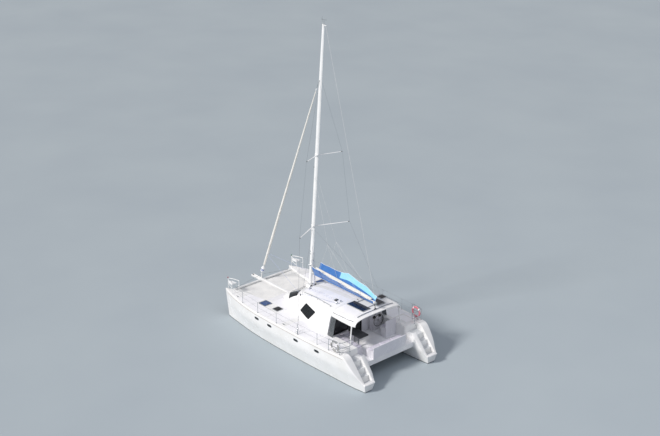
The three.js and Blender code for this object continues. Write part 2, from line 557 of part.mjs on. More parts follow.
// Rails: bow pulpits, stern pushpits, and stanchions with their two wires.
const RAIL = { tube: 14, height: 640, post: 12, wire: 4 };
const deckEdge = (x) => {
  const rows = HULL_SECTIONS;
  for (let i = 0; i + 1 < rows.length; i++)
    if (x <= rows[i][0] && x >= rows[i + 1][0]) {
      const part = (x - rows[i][0]) / (rows[i + 1][0] - rows[i][0]);
      const mix = (k) => rows[i][k] + part * (rows[i + 1][k] - rows[i][k]);
      return { out: mix(5), inn: mix(6), z: mix(7) };
    }
  return { out: rows.at(-1)[5], inn: rows.at(-1)[6], z: rows.at(-1)[7] };
};
const footing = (x, inset) => v(x, deckEdge(x).out - inset, deckEdge(x).z);
const trim = moved(hull, 0, 0, GAP);
const onDeck = (body) => body.subtract(trim);
const upBy = (p, h) => v(p.x, p.y, p.z + h);

const PULPIT_BACK_X = 4850;
const pulpitOut = footing(PULPIT_BACK_X, 75);
const pulpitIn = v(PULPIT_BACK_X, deckEdge(PULPIT_BACK_X).inn + 75, deckEdge(PULPIT_BACK_X).z);
const pulpitFront = v(5560, HULL_Y, 1640);
const pulpitRail = tube([upBy(pulpitOut, RAIL.height), v(5200, 2500, 2300), v(5480, 2370, 2290), v(5540, HULL_Y, 2288),
  v(5480, 2235, 2290), v(5200, 2130, 2300), upBy(pulpitIn, RAIL.height)], RAIL.tube, 8, 26);
const pulpitParts = [pulpitRail];
for (const foot of [pulpitOut, pulpitIn]) pulpitParts.push(bar(upBy(foot, -30), upBy(foot, RAIL.height + 8), RAIL.tube));
pulpitParts.push(bar(upBy(pulpitFront, -40), v(5530, HULL_Y, 2288), RAIL.tube));
pulpitParts.push(upwards([[4960, 2140], [5330, 2170], [5480, 2260], [5480, 2345], [5330, 2430], [4960, 2520]], 2130, 2160));
pulpitParts.push(bar(v(5440, 2300, 2145), v(5531, 2300, 2145), 9), bar(v(4970, 2500, 2145), v(4900, 2540, 2290), 9),
  bar(v(4970, 2160, 2145), v(4900, 2075, 2285), 9));
addPair("bow_pulpit", onDeck(join(pulpitParts)), "spar", METAL);

const STANCHION_X = [3500, 2000, 400, -1300, -2800];
const topOf = (p) => upBy(p, RAIL.height - 20);
const stanchionFeet = STANCHION_X.map((x) => footing(x, 70));
const wireEnds = [v(PULPIT_BACK_X - 22, pulpitOut.y + 2, pulpitOut.z), ...stanchionFeet, v(-3628, 2975, DECK_Z)];
const rails = stanchionFeet.map((foot) => bar(upBy(foot, -10), topOf(foot), RAIL.post, RAIL.post, 8));
for (const height of [RAIL.height - 30, 0.5 * RAIL.height])
  for (let i = 0; i + 1 < wireEnds.length; i++)
    rails.push(bar(upBy(wireEnds[i], height), upBy(wireEnds[i + 1], height), RAIL.wire, RAIL.wire, 6));
const pushpitRail = (h, radius = RAIL.tube) => tube([v(-3640, 2975, DECK_Z + h), v(-4000, 2950, DECK_Z + h),
  v(-4380, 2900, DECK_Z + h), v(-4470, 2700, DECK_Z + h), v(-4480, 2300, DECK_Z + h), v(-4470, 2120, DECK_Z + h)], radius, 8, 22);
const pushpitParts = [pushpitRail(RAIL.height), pushpitRail(0.52 * RAIL.height)];
for (const [x, y] of [[-3640, 2975], [-4380, 2900], [-4480, 2300]])
  pushpitParts.push(bar(v(x, y, DECK_Z - 40), v(x, y, DECK_Z + RAIL.height), RAIL.tube));
pushpitParts.push(bar(v(-4470, 2120, DECK_Z + 0.52 * RAIL.height), v(-4470, 2120, DECK_Z + RAIL.height), RAIL.tube));
addPair("lifelines", onDeck(join([...rails, ...pushpitParts])), "steel", METAL);

// Ring lifebuoys on the stern rails, a little inboard of the tube.
const BUOY = { r: 255, tube: 52 };
const buoy = solid(new THREE.TorusGeometry(BUOY.r, BUOY.tube, 10, 28).rotateX(Math.PI / 2).scale(1, 0.75, 1));
const BUOY_Z = DECK_Z + 0.52 * RAIL.height;
const BUOY_Y = 2890;
const hungBuoy = moved(buoy, -4010, BUOY_Y, BUOY_Z).subtract(pushpitRail(0.52 * RAIL.height, RAIL.tube + GAP));
add("port_lifebuoy", hungBuoy, "buoyGrey");
add("starboard_lifebuoy", hungBuoy, "red", {}, starboard);

// Mast: a tapered oval tube, raked aft, with the boom's pivot boss.
const onMast = (z) => v(MAST_FOOT.x - MAST_RAKE * (z - MAST_FOOT.z), 0, z);
const MAST = { wide: 118, taper: 0.62, flatten: 0.62, sides: 20, from: 12500 };
const mastLine = [MAST_FOOT.z - 60, MAST.from, MAST_TOP_Z];
const mastSkin = (grow) => turned(onMast(mastLine[0]), onMast(MAST_TOP_Z), mastLine.map((z, i) =>
  [(z - mastLine[0]) / (MAST_TOP_Z - mastLine[0]), MAST.wide * (i === 2 ? MAST.taper : 1) + grow]),
MAST.sides, MAST.flatten + grow / 100);
let mast = mastSkin(0)
  .subtract(block(0, 3000, -500, 500, 2000, MAST_FOOT.z));
const behindMast = (z, back) => onMast(z).add(v(-back, 0, 0));
const BOSS = { r: 30, half: 60 };
mast = mast.add(bar(behindMast(GOOSENECK_Z - BOSS.half, GOOSENECK_BACK), behindMast(GOOSENECK_Z + BOSS.half, GOOSENECK_BACK),
  BOSS.r, BOSS.r, 16));
mast = mast.add(block(GOOSENECK_BACK * -1 + onMast(GOOSENECK_Z).x, onMast(GOOSENECK_Z).x, -20, 20, GOOSENECK_Z - 40, GOOSENECK_Z + 40));
mast = mast.add(bar(onMast(MAST_TOP_Z - 30), behindMast(MAST_TOP_Z - 30, GOOSENECK_BACK + 20), 30, 20, 8));
add("mast", mast, "spar", METAL);

// Spreaders, swept aft: height on the mast, tip along, across and up.
const SPREADERS = [
  ["lower_spreaders", 6250, v(0, 1720, 6320)],
  ["upper_spreaders", 10300, v(20, 1200, 10370)],
];
const mastGrown = mastSkin(GAP);
for (const [name, z, tip] of SPREADERS) {
  const root = behindMast(z, 60);
  const other = v(tip.x, -tip.y, tip.z);
  const arms = bar(root, tip, 34, 20, 8).add(bar(root, other, 34, 20, 8));
  const collar = bar(onMast(z - 60), onMast(z + 60), MAST.wide + 22, MAST.wide + 22, MAST.sides, MAST.flatten + 0.08);
  add(name, arms.add(collar).subtract(mastGrown), "spar", METAL);
}

// Boom: two cheeks over and under the boss, then the tube.
const pivot = (z) => behindMast(z, GOOSENECK_BACK);
const CHEEK = { gap: 0.6, thick: 22 };
const cheek = (from, to) => bar(pivot(from), pivot(to), BOSS.r + 14, BOSS.r + 14, 16);
const boomNoseX = pivot(GOOSENECK_Z).x - 62;
const boomEnd = v(BOOM_END_X, 0, GOOSENECK_Z - 30);
let boom = bar(v(boomNoseX, 0, GOOSENECK_Z), boomEnd, BOOM_R + 8, BOOM_R, 16, 0.8);
for (const [from, to] of [[BOSS.half + CHEEK.gap, BOSS.half + CHEEK.gap + CHEEK.thick]]) {
  boom = boom.add(cheek(GOOSENECK_Z + from, GOOSENECK_Z + to)).add(cheek(GOOSENECK_Z - to, GOOSENECK_Z - from));
  boom = boom.add(block(boomNoseX - 30, boomNoseX + 62, -30, 30, GOOSENECK_Z + from + 3, GOOSENECK_Z + to - 3));
  boom = boom.add(block(boomNoseX - 30, boomNoseX + 62, -30, 30, GOOSENECK_Z - to + 3, GOOSENECK_Z - from - 3));
}
boom = boom.add(block(boomNoseX - 40, boomNoseX, -30, 30, GOOSENECK_Z - 80, GOOSENECK_Z + 80));
add("boom", boom, "spar", METAL);

// The open sail cover, a trough that the boom lies in, and the flaked sail on the boom. Columns: place along
// the boom, height of the cover's port and starboard edge and how far each leans out.
const COVER = [
  [780, 4020, 4050, 260, 410],
  [300, 3990, 4020, 270, 420],
  [-900, 3890, 4080, 270, 420],
  [-1500, 3840, 4140, 265, 420],
  [-2100, 3790, 4050, 250, 410],
  [-3100, 3700, 3860, 220, 340],
  [-3780, 3630, 3700, 170, 220],
];
const CLOTH_T = 14;
const alongBoom = (x, atNose, atEnd) => THREE.MathUtils.mapLinear(x, boomNoseX, BOOM_END_X, atNose, atEnd);
const boomMiddle = (x) => alongBoom(x, GOOSENECK_Z, boomEnd.z);
const boomHalf = (x) => alongBoom(x, BOOM_R + 8, BOOM_R);
const boomTop = (x) => boomMiddle(x) + boomHalf(x);
// One face of the trough: from the port edge round under the boom to the starboard edge.
function coverFace([x, portZ, starZ, portY, starY], off) {
  const top = boomTop(x);
  const bend = 0.42;
  const under = Array.from({ length: 9 }, (_, i) => {
    const angle = (Math.PI * i) / 8;
    return [(0.8 * boomHalf(x) + off) * Math.cos(angle), boomMiddle(x) - (boomHalf(x) + off) * Math.sin(angle)];
  });
  const lean = off * 1.2;
  return [[portY + lean, portZ], [portY * 0.72 + lean, top + bend * (portZ - top)], ...under,
    [-starY * 0.7 - lean, top + bend * (starZ - top)], [-starY - lean, starZ]].map(([y, z]) => v(x, y, z));
}
const coverRing = (row) => [...coverFace(row, GAP + CLOTH_T), ...coverFace(row, GAP).reverse()];
add("sail_cover", loft(COVER.map(coverRing)), "blueCloth", CLOTH);
// Columns: place along the boom, half width and height of the heap of folds.
const FOLDS = [[720, 80, 400], [300, 120, 380], [-900, 130, 320], [-2100, 125, 250], [-3000, 105, 180], [-3600, 80, 100]];
const folds = loft(FOLDS.map(([x, half, high]) => {
  const base = boomTop(x) + GAP;
  const corner = (_, i) => {
    const angle = (Math.PI * i) / 8;
    return v(x, half * Math.cos(angle) * (0.55 + 0.45 * Math.sin(angle)), base + high * Math.sin(angle));
  };
  return Array.from({ length: 9 }, corner);
}));
add("flaked_mainsail", folds, "sail", CLOTH);

// Forestay with the furled headsail, its drum on the crossbeam.
const mastRadius = (z) =>
  MAST.wide * (z < MAST.from ? 1 : 1 - ((1 - MAST.taper) * (z - MAST.from)) / (MAST_TOP_Z - MAST.from));
const stayTop = onMast(STAY_TOP_Z).add(v(mastRadius(STAY_TOP_Z) + 11.5, 0, 0));
const stayFoot = v(BEAM_X + 10, 0, STRIKER_Z);
const FURL = [[0.012, 46], [0.016, 115], [0.043, 115], [0.05, 60], [0.06, 62], [0.25, 74], [0.55, 60], [0.85, 42], [0.955, 30]];
let furled = bar(stayFoot.clone().add(v(0, 0, GAP)), stayTop, 10, 10, 8);
furled = furled.add(turned(stayFoot, stayTop, FURL));
furled = furled.subtract(moved(frontBeams, 0, 0, GAP));
add("furled_headsail", furled, "sail", CLOTH);

// Shrouds of each side: cap shroud over both spreader tips, and lower shroud.
const WIRE_R = 6;
const [lowerTip, upperTip] = [SPREADERS[0][2], SPREADERS[1][2]];
const clear = (tip) => v(tip.x - 6, tip.y + 24, tip.z);
const chain = CHAINPLATE;
const besideMast = (z) => onMast(z).add(v(0, mastRadius(z) * MAST.flatten + WIRE_R, 0));
const capTop = besideMast(STAY_TOP_Z);
const shroudParts = [bar(chain, clear(lowerTip), WIRE_R), bar(clear(lowerTip), clear(upperTip), WIRE_R),
  bar(clear(upperTip), capTop, WIRE_R), solid(new THREE.SphereGeometry(WIRE_R + 4, 8, 6).translate(...clear(lowerTip))),
  solid(new THREE.SphereGeometry(WIRE_R + 4, 8, 6).translate(...clear(upperTip)))];
shroudParts.push(bar(v(chain.x + 150, chain.y - 40, chain.z + 30), besideMast(6000), WIRE_R));
shroudParts.push(block(chain.x - 60, chain.x + 210, chain.y - 60, chain.y + 12, DECK_Z, DECK_Z + 45));
const shrouds = onDeck(join(shroudParts));
addPair("shrouds", shrouds, "steel", METAL);

// Topping lift from the masthead crane to the boom's end.
const liftTop = behindMast(MAST_TOP_Z - 62, GOOSENECK_BACK);
const lift = bar(v(BOOM_END_X + 60, 0, boomEnd.z), liftTop, 5, 5, 8).subtract(moved(boom, 0, 0, GAP));
add("topping_lift", lift, "steel", METAL);

export default boat;
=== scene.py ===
"""The looks of a cruising catamaran at anchor: gelcoat, spars, rails, nets, canvas and sails on its frame.

Metres; +X to the bow, +Y to port, +Z up, the origin amidships on the waterline.
"""
import math

import bmesh
import bpy
import numpy as np
from mathutils import Matrix, Vector


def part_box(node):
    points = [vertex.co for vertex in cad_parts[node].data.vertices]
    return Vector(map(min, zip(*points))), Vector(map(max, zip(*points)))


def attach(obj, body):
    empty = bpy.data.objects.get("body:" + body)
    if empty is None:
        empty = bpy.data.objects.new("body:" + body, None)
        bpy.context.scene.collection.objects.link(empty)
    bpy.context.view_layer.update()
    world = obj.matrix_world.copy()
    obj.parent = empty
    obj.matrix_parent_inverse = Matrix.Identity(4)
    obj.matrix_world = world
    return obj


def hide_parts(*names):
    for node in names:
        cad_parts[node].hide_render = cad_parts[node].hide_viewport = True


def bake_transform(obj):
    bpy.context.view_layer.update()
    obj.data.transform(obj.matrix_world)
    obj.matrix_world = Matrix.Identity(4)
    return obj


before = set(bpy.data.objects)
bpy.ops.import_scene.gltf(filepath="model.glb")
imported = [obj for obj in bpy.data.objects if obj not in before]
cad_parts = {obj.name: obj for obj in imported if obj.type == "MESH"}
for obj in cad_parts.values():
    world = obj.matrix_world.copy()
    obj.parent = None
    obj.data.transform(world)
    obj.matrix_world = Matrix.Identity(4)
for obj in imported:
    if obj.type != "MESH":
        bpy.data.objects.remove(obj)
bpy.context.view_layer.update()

# Places shared with the frame.
HULL_Y = 2.3
DECK_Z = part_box("port_hull")[1].z
SOLE_Z = 1.08
BEAM_X = 5.45
BULKHEAD_X = -2.36
MAST_FOOT = (1.2, 2.76)
MAST_RAKE = 0.077
MAST_TOP_Z = 17.2
STAY_TOP_Z = 14.3
GOOSENECK_Z = 3.5
GOOSENECK_BACK = 0.19
BOOM_END_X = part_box("boom")[0].x
WALL = 0.05
BOOT_TOP_Z = 0.035
SIDES = {"port": 1, "starboard": -1}


# Shapes. A shape is a pair: an array of points and a list of faces, each a list of point numbers.

def through(at, values, wanted):
    """A smooth line through values known at rising places. Each span is a cubic; its end slopes are the
    harmonic mean of the straight slopes on either side, so it never swings past a known value."""
    at = np.asarray(at, float)
    known = np.asarray(values, float).reshape(len(at), -1)
    wanted = np.asarray(wanted, float)
    span = np.diff(at)[:, None]
    slope = np.diff(known, axis=0) / span
    before, after = slope[:-1], slope[1:]
    total = np.where(before * after > 0, before + after, 1)
    inner = np.where(before * after > 0, 2 * before * after / total, 0)
    ends = np.vstack([slope[:1], inner, slope[-1:]])
    k = np.clip(np.searchsorted(at, wanted, side="right") - 1, 0, len(at) - 2)
    t = ((wanted - at[k]) / span[k, 0])[:, None]
    line = known[k] * (1 + 2 * t) * (1 - t) ** 2 + known[k + 1] * t * t * (3 - 2 * t)
    line = line + span[k] * (ends[k] * t * (1 - t) ** 2 + ends[k + 1] * t * t * (t - 1))
    return line.reshape((len(wanted),) + np.shape(values)[1:])


def columns_at(table, places):
    """The columns of a table at some places along, its first column being the place."""
    return through(table[:, 0], table[:, 1:], np.atleast_1d(places)).T


def along(points, count):
    """A smooth line of count points through a few points, evenly spaced by distance along them."""
    points = np.asarray(points, float)
    travelled = np.r_[0, np.cumsum(np.linalg.norm(np.diff(points, axis=0), axis=1))]
    return through(travelled, points, np.linspace(0, travelled[-1], count))


def around(count):
    """Angles evenly round a circle."""
    return np.linspace(0, 2 * np.pi, count, endpoint=False)


def unit(vectors):
    """Vectors, one a row, shortened or lengthened to 1."""
    return vectors / np.maximum(np.linalg.norm(vectors, axis=-1, keepdims=True), 1e-9)


def at_x(x, ring):
    """Points across and up as points in space at one place along."""
    return np.c_[np.full(len(ring), x), ring]


def at_z(ring, z):
    """Points along and across as points in space at one height."""
    return np.c_[ring, np.full(len(ring), z)]


def grid(points, joined=False):
    """A sheet over a grid of points, rows by columns; joined ties the last column to the first."""
    number = np.arange(points.shape[0] * points.shape[1]).reshape(points.shape[:2])
    right = np.roll(number, -1, axis=1)
    if not joined:
        number, right = number[:, :-1], right[:, :-1]
    faces = np.stack([number[:-1], right[:-1], right[1:], number[1:]], axis=-1).reshape(-1, 4)
    return points.reshape(-1, 3), faces.tolist()


def closed(rings, flat=False):
    """A solid over closed rings, rows by columns; each end is closed by faces to its middle point, or by one
    flat face."""
    rings = np.asarray(rings, float)
    points, faces = grid(rings, joined=True)
    size = len(points)
    first = list(range(rings.shape[1]))
    last = list(range(size - rings.shape[1], size))
    if flat:
        return points, faces + [first[::-1], last]
    fans = [[size, after, before] for before, after in zip(first, first[1:] + first[:1])]
    fans += [[size + 1, before, after] for before, after in zip(last, last[1:] + last[:1])]
    return np.vstack([points, rings[0].mean(0), rings[-1].mean(0)]), faces + fans


def together(shapes):
    """Several shapes as one, side by side."""
    points, faces, start = [], [], 0
    for some, corners in shapes:
        points.append(some)
        faces += [[start + n for n in face] for face in corners]
        start += len(some)
    return np.vstack(points), faces


def mirrored(shape):
    """The shape on the other side of the boat: y changes sign and each face runs the other way."""
    points, faces = shape
    return points * [1, -1, 1], [face[::-1] for face in faces]


def shifted(shape, by):
    return shape[0] + np.asarray(by, float), shape[1]


def turned(shape, axis, degrees):
    """The shape turned about X, Y or Z through the origin."""
    return shape[0] @ np.array(Matrix.Rotation(math.radians(degrees), 3, axis)).T, shape[1]


def circle(radius, sides=12, flatten=1.0):
    angle = around(sides)
    return np.stack([radius * np.cos(angle), radius * flatten * np.sin(angle)], axis=1)


def carried(path, section, sizes=None, loop=False, up=(0, 0, 1)):
    """A flat section carried along a path. Each ring lies square to the path; its first direction is the
    last ring's, made square again, so the section never twists. sizes scales the section along the way."""
    path = np.asarray(path, float)
    ahead = unit(np.roll(path, -1, axis=0) - np.roll(path, 1, axis=0) if loop else np.gradient(path, axis=0))
    side = np.cross(ahead[0], up)
    if np.linalg.norm(side) < 1e-3:
        side = np.cross(ahead[0], (1, 0, 0))
    sideways = np.empty_like(path)
    for i, direction in enumerate(ahead):
        side = unit(side - direction * (side @ direction))
        sideways[i] = side
    upward = np.cross(sideways, ahead)
    flat = section[None] * (np.ones(len(path)) if sizes is None else np.asarray(sizes, float))[:, None, None]
    rings = path[:, None] + flat[..., :1] * sideways[:, None] + flat[..., 1:] * upward[:, None]
    return grid(np.concatenate([rings, rings[:1]]), joined=True) if loop else closed(rings)


def rod(a, b, radius, end_radius=None, sides=10):
    """A straight round bar from a to b, or a cone where the end's radius differs."""
    return carried([a, b], circle(radius, sides), [1, 1 if end_radius is None else end_radius / radius])


def pipe(points, radius, sides=10):
    """A bent tube through some points."""
    return carried(along(points, 8 * len(points)), circle(radius, sides))


def smooth_tube(points, radius, count, sides=12):
    """A tube bent on easy curves: each corner becomes a curve through the middles of its two sides."""
    points = np.asarray(points, float)
    for _ in range(3):
        halves = [0.75 * points[:-1] + 0.25 * points[1:], 0.25 * points[:-1] + 0.75 * points[1:]]
        points = np.vstack([points[:1], np.stack(halves, axis=1).reshape(-1, 3), points[-1:]])
    return carried(along(points, count), circle(radius, sides))


def spun(profile, at=(0, 0, 0), sides=24, lean=("Z", 0)):
    """A profile of (radius, height) rows turned round an upright axis, leant over, and set at a place."""
    profile = np.asarray(profile, float)
    angle = around(sides)
    x, y = profile[:, :1] * np.cos(angle), profile[:, :1] * np.sin(angle)
    shape = closed(np.stack([x, y, np.repeat(profile[:, 1:], sides, axis=1)], axis=-1))
    return shifted(turned(shape, *lean), at)


def prism(outline, low, high, upright=True):
    """An outline carried straight up, or, where it isn't upright, from side to side."""
    rings = np.stack([at_z(outline, z) for z in (low, high)])
    return closed(rings if upright else rings[..., [0, 2, 1]], flat=True)


def block(low, high):
    """A box between two corners."""
    (x0, y0, z0), (x1, y1, z1) = low, high
    return prism(np.array([[x0, y0], [x1, y0], [x1, y1], [x0, y1]]), z0, z1)


def rounded_outline(length, width, radius, steps=5):
    """A rectangle in X and Y about the origin, with quarter circles at its corners."""
    angle = np.linspace(0, np.pi / 2, steps)
    corners = []
    for turn, (x, y) in enumerate([(1, 1), (-1, 1), (-1, -1), (1, -1)]):
        a = angle + turn * np.pi / 2
        middle = [x * (length / 2 - radius), y * (width / 2 - radius)]
        corners.append(middle + radius * np.stack([np.cos(a), np.sin(a)], axis=1))
    return np.concatenate(corners)


def slab(outline, bottom, top, soften=0.0):
    """An outline in X and Y raised from bottom to top; soften rounds the upper edge by a quarter circle."""
    middle = outline.mean(0)
    reach = np.linalg.norm(outline - middle, axis=1, keepdims=True)
    rows = [(0, bottom), (0, top - soften)]
    for angle in np.linspace(np.pi / 8, np.pi / 2, 4) if soften else []:
        rows.append((soften * (1 - math.cos(angle)), top - soften + soften * math.sin(angle)))
    return closed([at_z(middle + (outline - middle) * (1 - inset / reach), z) for inset, z in rows])


def tile(length, width, radius, at, bottom, top, soften=0.0, steps=5):
    """A slab with a rounded rectangle for its outline, its middle at a place in plan."""
    return slab(rounded_outline(length, width, radius, steps) + at, bottom, top, soften)


def ends_of(name):
    """The low and high corner of a frame piece's box."""
    return [np.array(corner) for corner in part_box(name)]


# Blender objects.

def bare(name, shape):
    """A Blender mesh of the shape, its doubles merged and its faces turned outwards."""
    points, faces = shape
    mesh = bpy.data.meshes.new(name)
    mesh.from_pydata(np.asarray(points).tolist(), [], faces)
    made = bmesh.new()
    made.from_mesh(mesh)
    bmesh.ops.remove_doubles(made, verts=made.verts, dist=1e-5)
    bmesh.ops.recalc_face_normals(made, faces=made.faces)
    made.to_mesh(mesh)
    made.free()
    return shown(name, mesh)


def shown(name, data):
    """A new object in the scene that holds a mesh, a lamp or a camera."""
    made = bpy.data.objects.new(name, data)
    bpy.context.scene.collection.objects.link(made)
    return made


def points_of(piece):
    """The points of a piece's mesh, one a row."""
    points = np.empty(len(piece.data.vertices) * 3)
    piece.data.vertices.foreach_get("co", points)
    return points.reshape(-1, 3)


def settle(piece):
    """Makes the piece's modifiers part of its mesh."""
    ready = piece.evaluated_get(bpy.context.evaluated_depsgraph_get())
    mesh = bpy.data.meshes.new_from_object(ready)
    piece.modifiers.clear()
    piece.data = mesh
    mesh.name = piece.name


def cut(piece, shapes, how="DIFFERENCE", solver="MANIFOLD"):
    """Takes each shape away from the piece, adds it, or keeps what lies inside it."""
    tools = [bare(f"tool_{i}", shape) for i, shape in enumerate(shapes)]
    for tool in tools:
        step = piece.modifiers.new("cut", "BOOLEAN")
        step.object = tool
        step.operation = how
        step.solver = solver
    bpy.context.view_layer.update()
    settle(piece)
    for tool in tools:
        bpy.data.objects.remove(tool)


def dress(piece, finish, body="boat", slot=None, sharp=35.0, bevel=0.0, replaces=()):
    """Gives a piece its material, shading and body, and rounds its edges where bevel says so; slot is not
    used. A piece that joins two bodies has no body of its own here."""
    if bevel:
        edge = piece.modifiers.new("edges", "BEVEL")
        edge.width = bevel
        edge.segments = 2
        edge.limit_method = "ANGLE"
        edge.angle_limit = math.radians(40)
        settle(piece)
    piece.data.materials.clear()
    piece.data.materials.append(finish)
    piece.data.shade_smooth()
    piece.data.set_sharp_from_angle(angle=math.radians(sharp))
    if body:
        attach(piece, body)
    if replaces:
        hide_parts(*replaces)
    return piece


def make(name, shapes, finish, **choices):
    """One piece of the object from one or more shapes."""
    shapes = shapes if isinstance(shapes, list) else [shapes]
    return dress(bare(name, together(shapes)), finish, **choices)


def make_pair(name, shapes, finish, **choices):
    """A piece that the boat has on both sides; body and replaces take the side's name where they hold {},
    and a finish or a slot may be given for each side."""
    shapes = shapes if isinstance(shapes, list) else [shapes]
    for side, sign in SIDES.items():
        filled = {key: value[side] if isinstance(value, dict) else value for key, value in choices.items()}
        filled["body"] = choices.get("body", "boat").format(side)
        filled["replaces"] = [node.format(side) for node in choices.get("replaces", ())]
        some = shapes if sign > 0 else [mirrored(shape) for shape in shapes]
        make(f"{side}_{name}", some, finish[side] if isinstance(finish, dict) else finish, **filled)


def dress_nodes(names, finish):
    """Gives frame pieces that keep their own shape a better finish."""
    for name in names:
        for slot in bpy.data.objects[name].material_slots:
            slot.material = finish


# Materials. Colours are sRGB hex values; pattern sizes are real sizes in metres.

def linear(code):
    """An sRGB hex colour such as #F4F6F8 as linear red, green, blue and alpha."""
    parts = np.array([int(code[i:i + 2], 16) for i in (1, 3, 5)]) / 255
    plain = np.where(parts <= 0.04045, parts / 12.92, ((parts + 0.055) / 1.055) ** 2.4)
    return (*plain.tolist(), 1.0)


def add(tree, kind, inputs, **settings):
    """One node with its settings; an input given another node's output is linked to it."""
    made = tree.nodes.new("ShaderNode" + kind)
    for key, value in settings.items():
        setattr(made, key, value)
    for key, value in inputs.items():
        if isinstance(value, bpy.types.NodeSocket):
            tree.links.new(value, made.inputs[key])
        else:
            made.inputs[key].default_value = value
    return made


def mingled(tree, amount, first, second):
    """A colour between two others, each a hex value or a node's output."""
    ends = [linear(end) if isinstance(end, str) else end for end in (first, second)]
    return add(tree, "MixRGB", {"Fac": amount, "Color1": ends[0], "Color2": ends[1]}).outputs["Color"]


def drift(tree, place, size, low=0.0, high=1.0, detail=2.0):
    """A number that drifts between low and high in patches about size across."""
    noise = add(tree, "TexNoise", {"Vector": place, "Scale": 1 / size, "Detail": detail}).outputs["Fac"]
    reach = {"Value": noise, "From Min": 0.3, "From Max": 0.7, "To Min": low, "To Max": high}
    return add(tree, "MapRange", reach).outputs["Result"]


def surface(name, light, dark, patch, gloss, blotch, textures, banded=False, cells=None, **sockets):
    """A finish. Its colour drifts between two hex values in patches of one size, or follows the last
    texture's bands, or fills square cells; its roughness drifts between the two values of gloss in blotches
    of another size. Each texture, a node's kind, size, height and settings, raises the surface upon the one
    before; lay places it, and a second kind of bands, across, is woven into the first."""
    material = bpy.data.materials.new(name)
    material.use_nodes = True
    tree = material.node_tree
    shader = tree.nodes["Principled BSDF"]
    for key, value in sockets.items():
        shader.inputs[key.replace("_", " ")].default_value = value
    place = add(tree, "TexCoord", {}).outputs["Object"]
    under = None
    for kind, size, depth, more in textures:
        where = place
        if "lay" in more:
            where = add(tree, "Mapping", {"Vector": place, **more["lay"]}).outputs["Vector"]
        inputs = {key: value for key, value in more.items() if key[0].isupper()}
        settings = {key: value for key, value in more.items()
                    if key in ("distance", "feature", "bands_direction")}
        height = add(tree, kind, {"Vector": where, "Scale": 1 / size, **inputs}, **settings)
        height = height.outputs["Distance" if kind == "TexVoronoi" else "Fac"]
        if "across" in more:
            weft = add(tree, kind, {"Vector": where, "Scale": 1 / size, **inputs},
                       bands_direction=more["across"])
            height = add(tree, "Math", {0: height, 1: weft.outputs["Fac"]},
                         operation="MAXIMUM").outputs["Value"]
        inputs = {"Height": height, "Distance": depth, "Strength": 1.0}
        if under:
            inputs["Normal"] = under
        under = add(tree, "Bump", inputs).outputs["Normal"]
    if cells:
        two = {"Vector": place, "Color1": linear(light), "Color2": linear(dark)}
        colour = add(tree, "TexBrick", {**two, **cells}, offset=0.0, squash=1.0).outputs["Color"]
    elif banded:
        colour = mingled(tree, height, dark, light)
    else:
        colour = mingled(tree, drift(tree, place, patch, detail=3.0), light, dark)
    tree.links.new(colour, shader.inputs["Base Color"])
    tree.links.new(drift(tree, place, blotch, *gloss), shader.inputs["Roughness"])
    if under:
        tree.links.new(under, shader.inputs["Normal"])
    return material


def gelcoat(name, light="#F6F7F8", dark="#ECEDEC"):
    """Polished gelcoat over hand-laid glass: a white gloss with faint chalking, a slow unfairness of the
    panels about half a metre long, and a slight orange peel, drawn 30 mm wide so that it shows."""
    waves = [("TexNoise", 0.6, 0.004, {"Detail": 1.0}), ("TexNoise", 0.03, 0.0003, {"Detail": 2.0})]
    return surface(name, light, dark, 0.9, (0.16, 0.3), 0.4, waves, IOR=1.5, Coat_Weight=0.35,
                   Coat_Roughness=0.08)


def painted_below():
    """The topsides' gelcoat, with the dark matt bottom paint from just above the waterline down."""
    material = gelcoat("hull_gelcoat_and_bottom_paint")
    tree = material.node_tree
    shader = tree.nodes["Principled BSDF"]
    place = tree.nodes["Texture Coordinate"].outputs["Object"]
    height = add(tree, "SeparateXYZ", {"Vector": place}).outputs["Z"]
    edge = {"Value": height, "From Min": BOOT_TOP_Z - 0.002, "From Max": BOOT_TOP_Z + 0.002}
    above = add(tree, "MapRange", edge).outputs["Result"]
    white, gloss = (shader.inputs[key].links[0].from_socket for key in ("Base Color", "Roughness"))
    paint = mingled(tree, drift(tree, place, 0.25, detail=3.0), "#22303B", "#2C3A42")
    matt = add(tree, "MapRange", {"Value": above, "To Min": 0.8, "To Max": 0.0}).outputs["Result"]
    rough = add(tree, "Math", {0: gloss, 1: matt}, operation="MAXIMUM").outputs["Value"]
    tree.links.new(mingled(tree, above, paint, white), shader.inputs["Base Color"])
    tree.links.new(rough, shader.inputs["Roughness"])
    return material


def metal(name, light, dark, low, high):
    """Bare metal: two near colours, a roughness that drifts between low and high, and a fine grain."""
    return surface(name, light, dark, 0.06, (low, high), 0.05, [("TexNoise", 0.01, 0.0001, {"Detail": 3.0})],
                   Metallic=1.0)


def acrylic(name, deep, edge, clear):
    """Cast tinted acrylic: a hard bright gloss over a dark body, faintly wavy, with a little dust."""
    return surface(name, deep, edge, 0.5, (0.03, 0.09), 0.3, [("TexNoise", 0.5, 0.002, {"Detail": 1.0})],
                   IOR=1.49, Transmission_Weight=clear, Specular_IOR_Level=0.6)


def canvas(name, light, dark):
    """Solution-dyed acrylic canvas: a matt plain weave, threads 0.6 mm apart on the real cloth and drawn
    8 mm apart so that they show, faded in broad patches, with a soft sheen."""
    cloth = [("TexNoise", 0.15, 0.004, {"Detail": 2.0}),
             ("TexWave", 0.025, 0.0006, {"Distortion": 0.6, "bands_direction": "X", "across": "Z"})]
    return surface(name, light, dark, 0.5, (0.8, 0.95), 0.2, cloth, IOR=1.46, Sheen_Weight=0.3,
                   Sheen_Roughness=0.5)


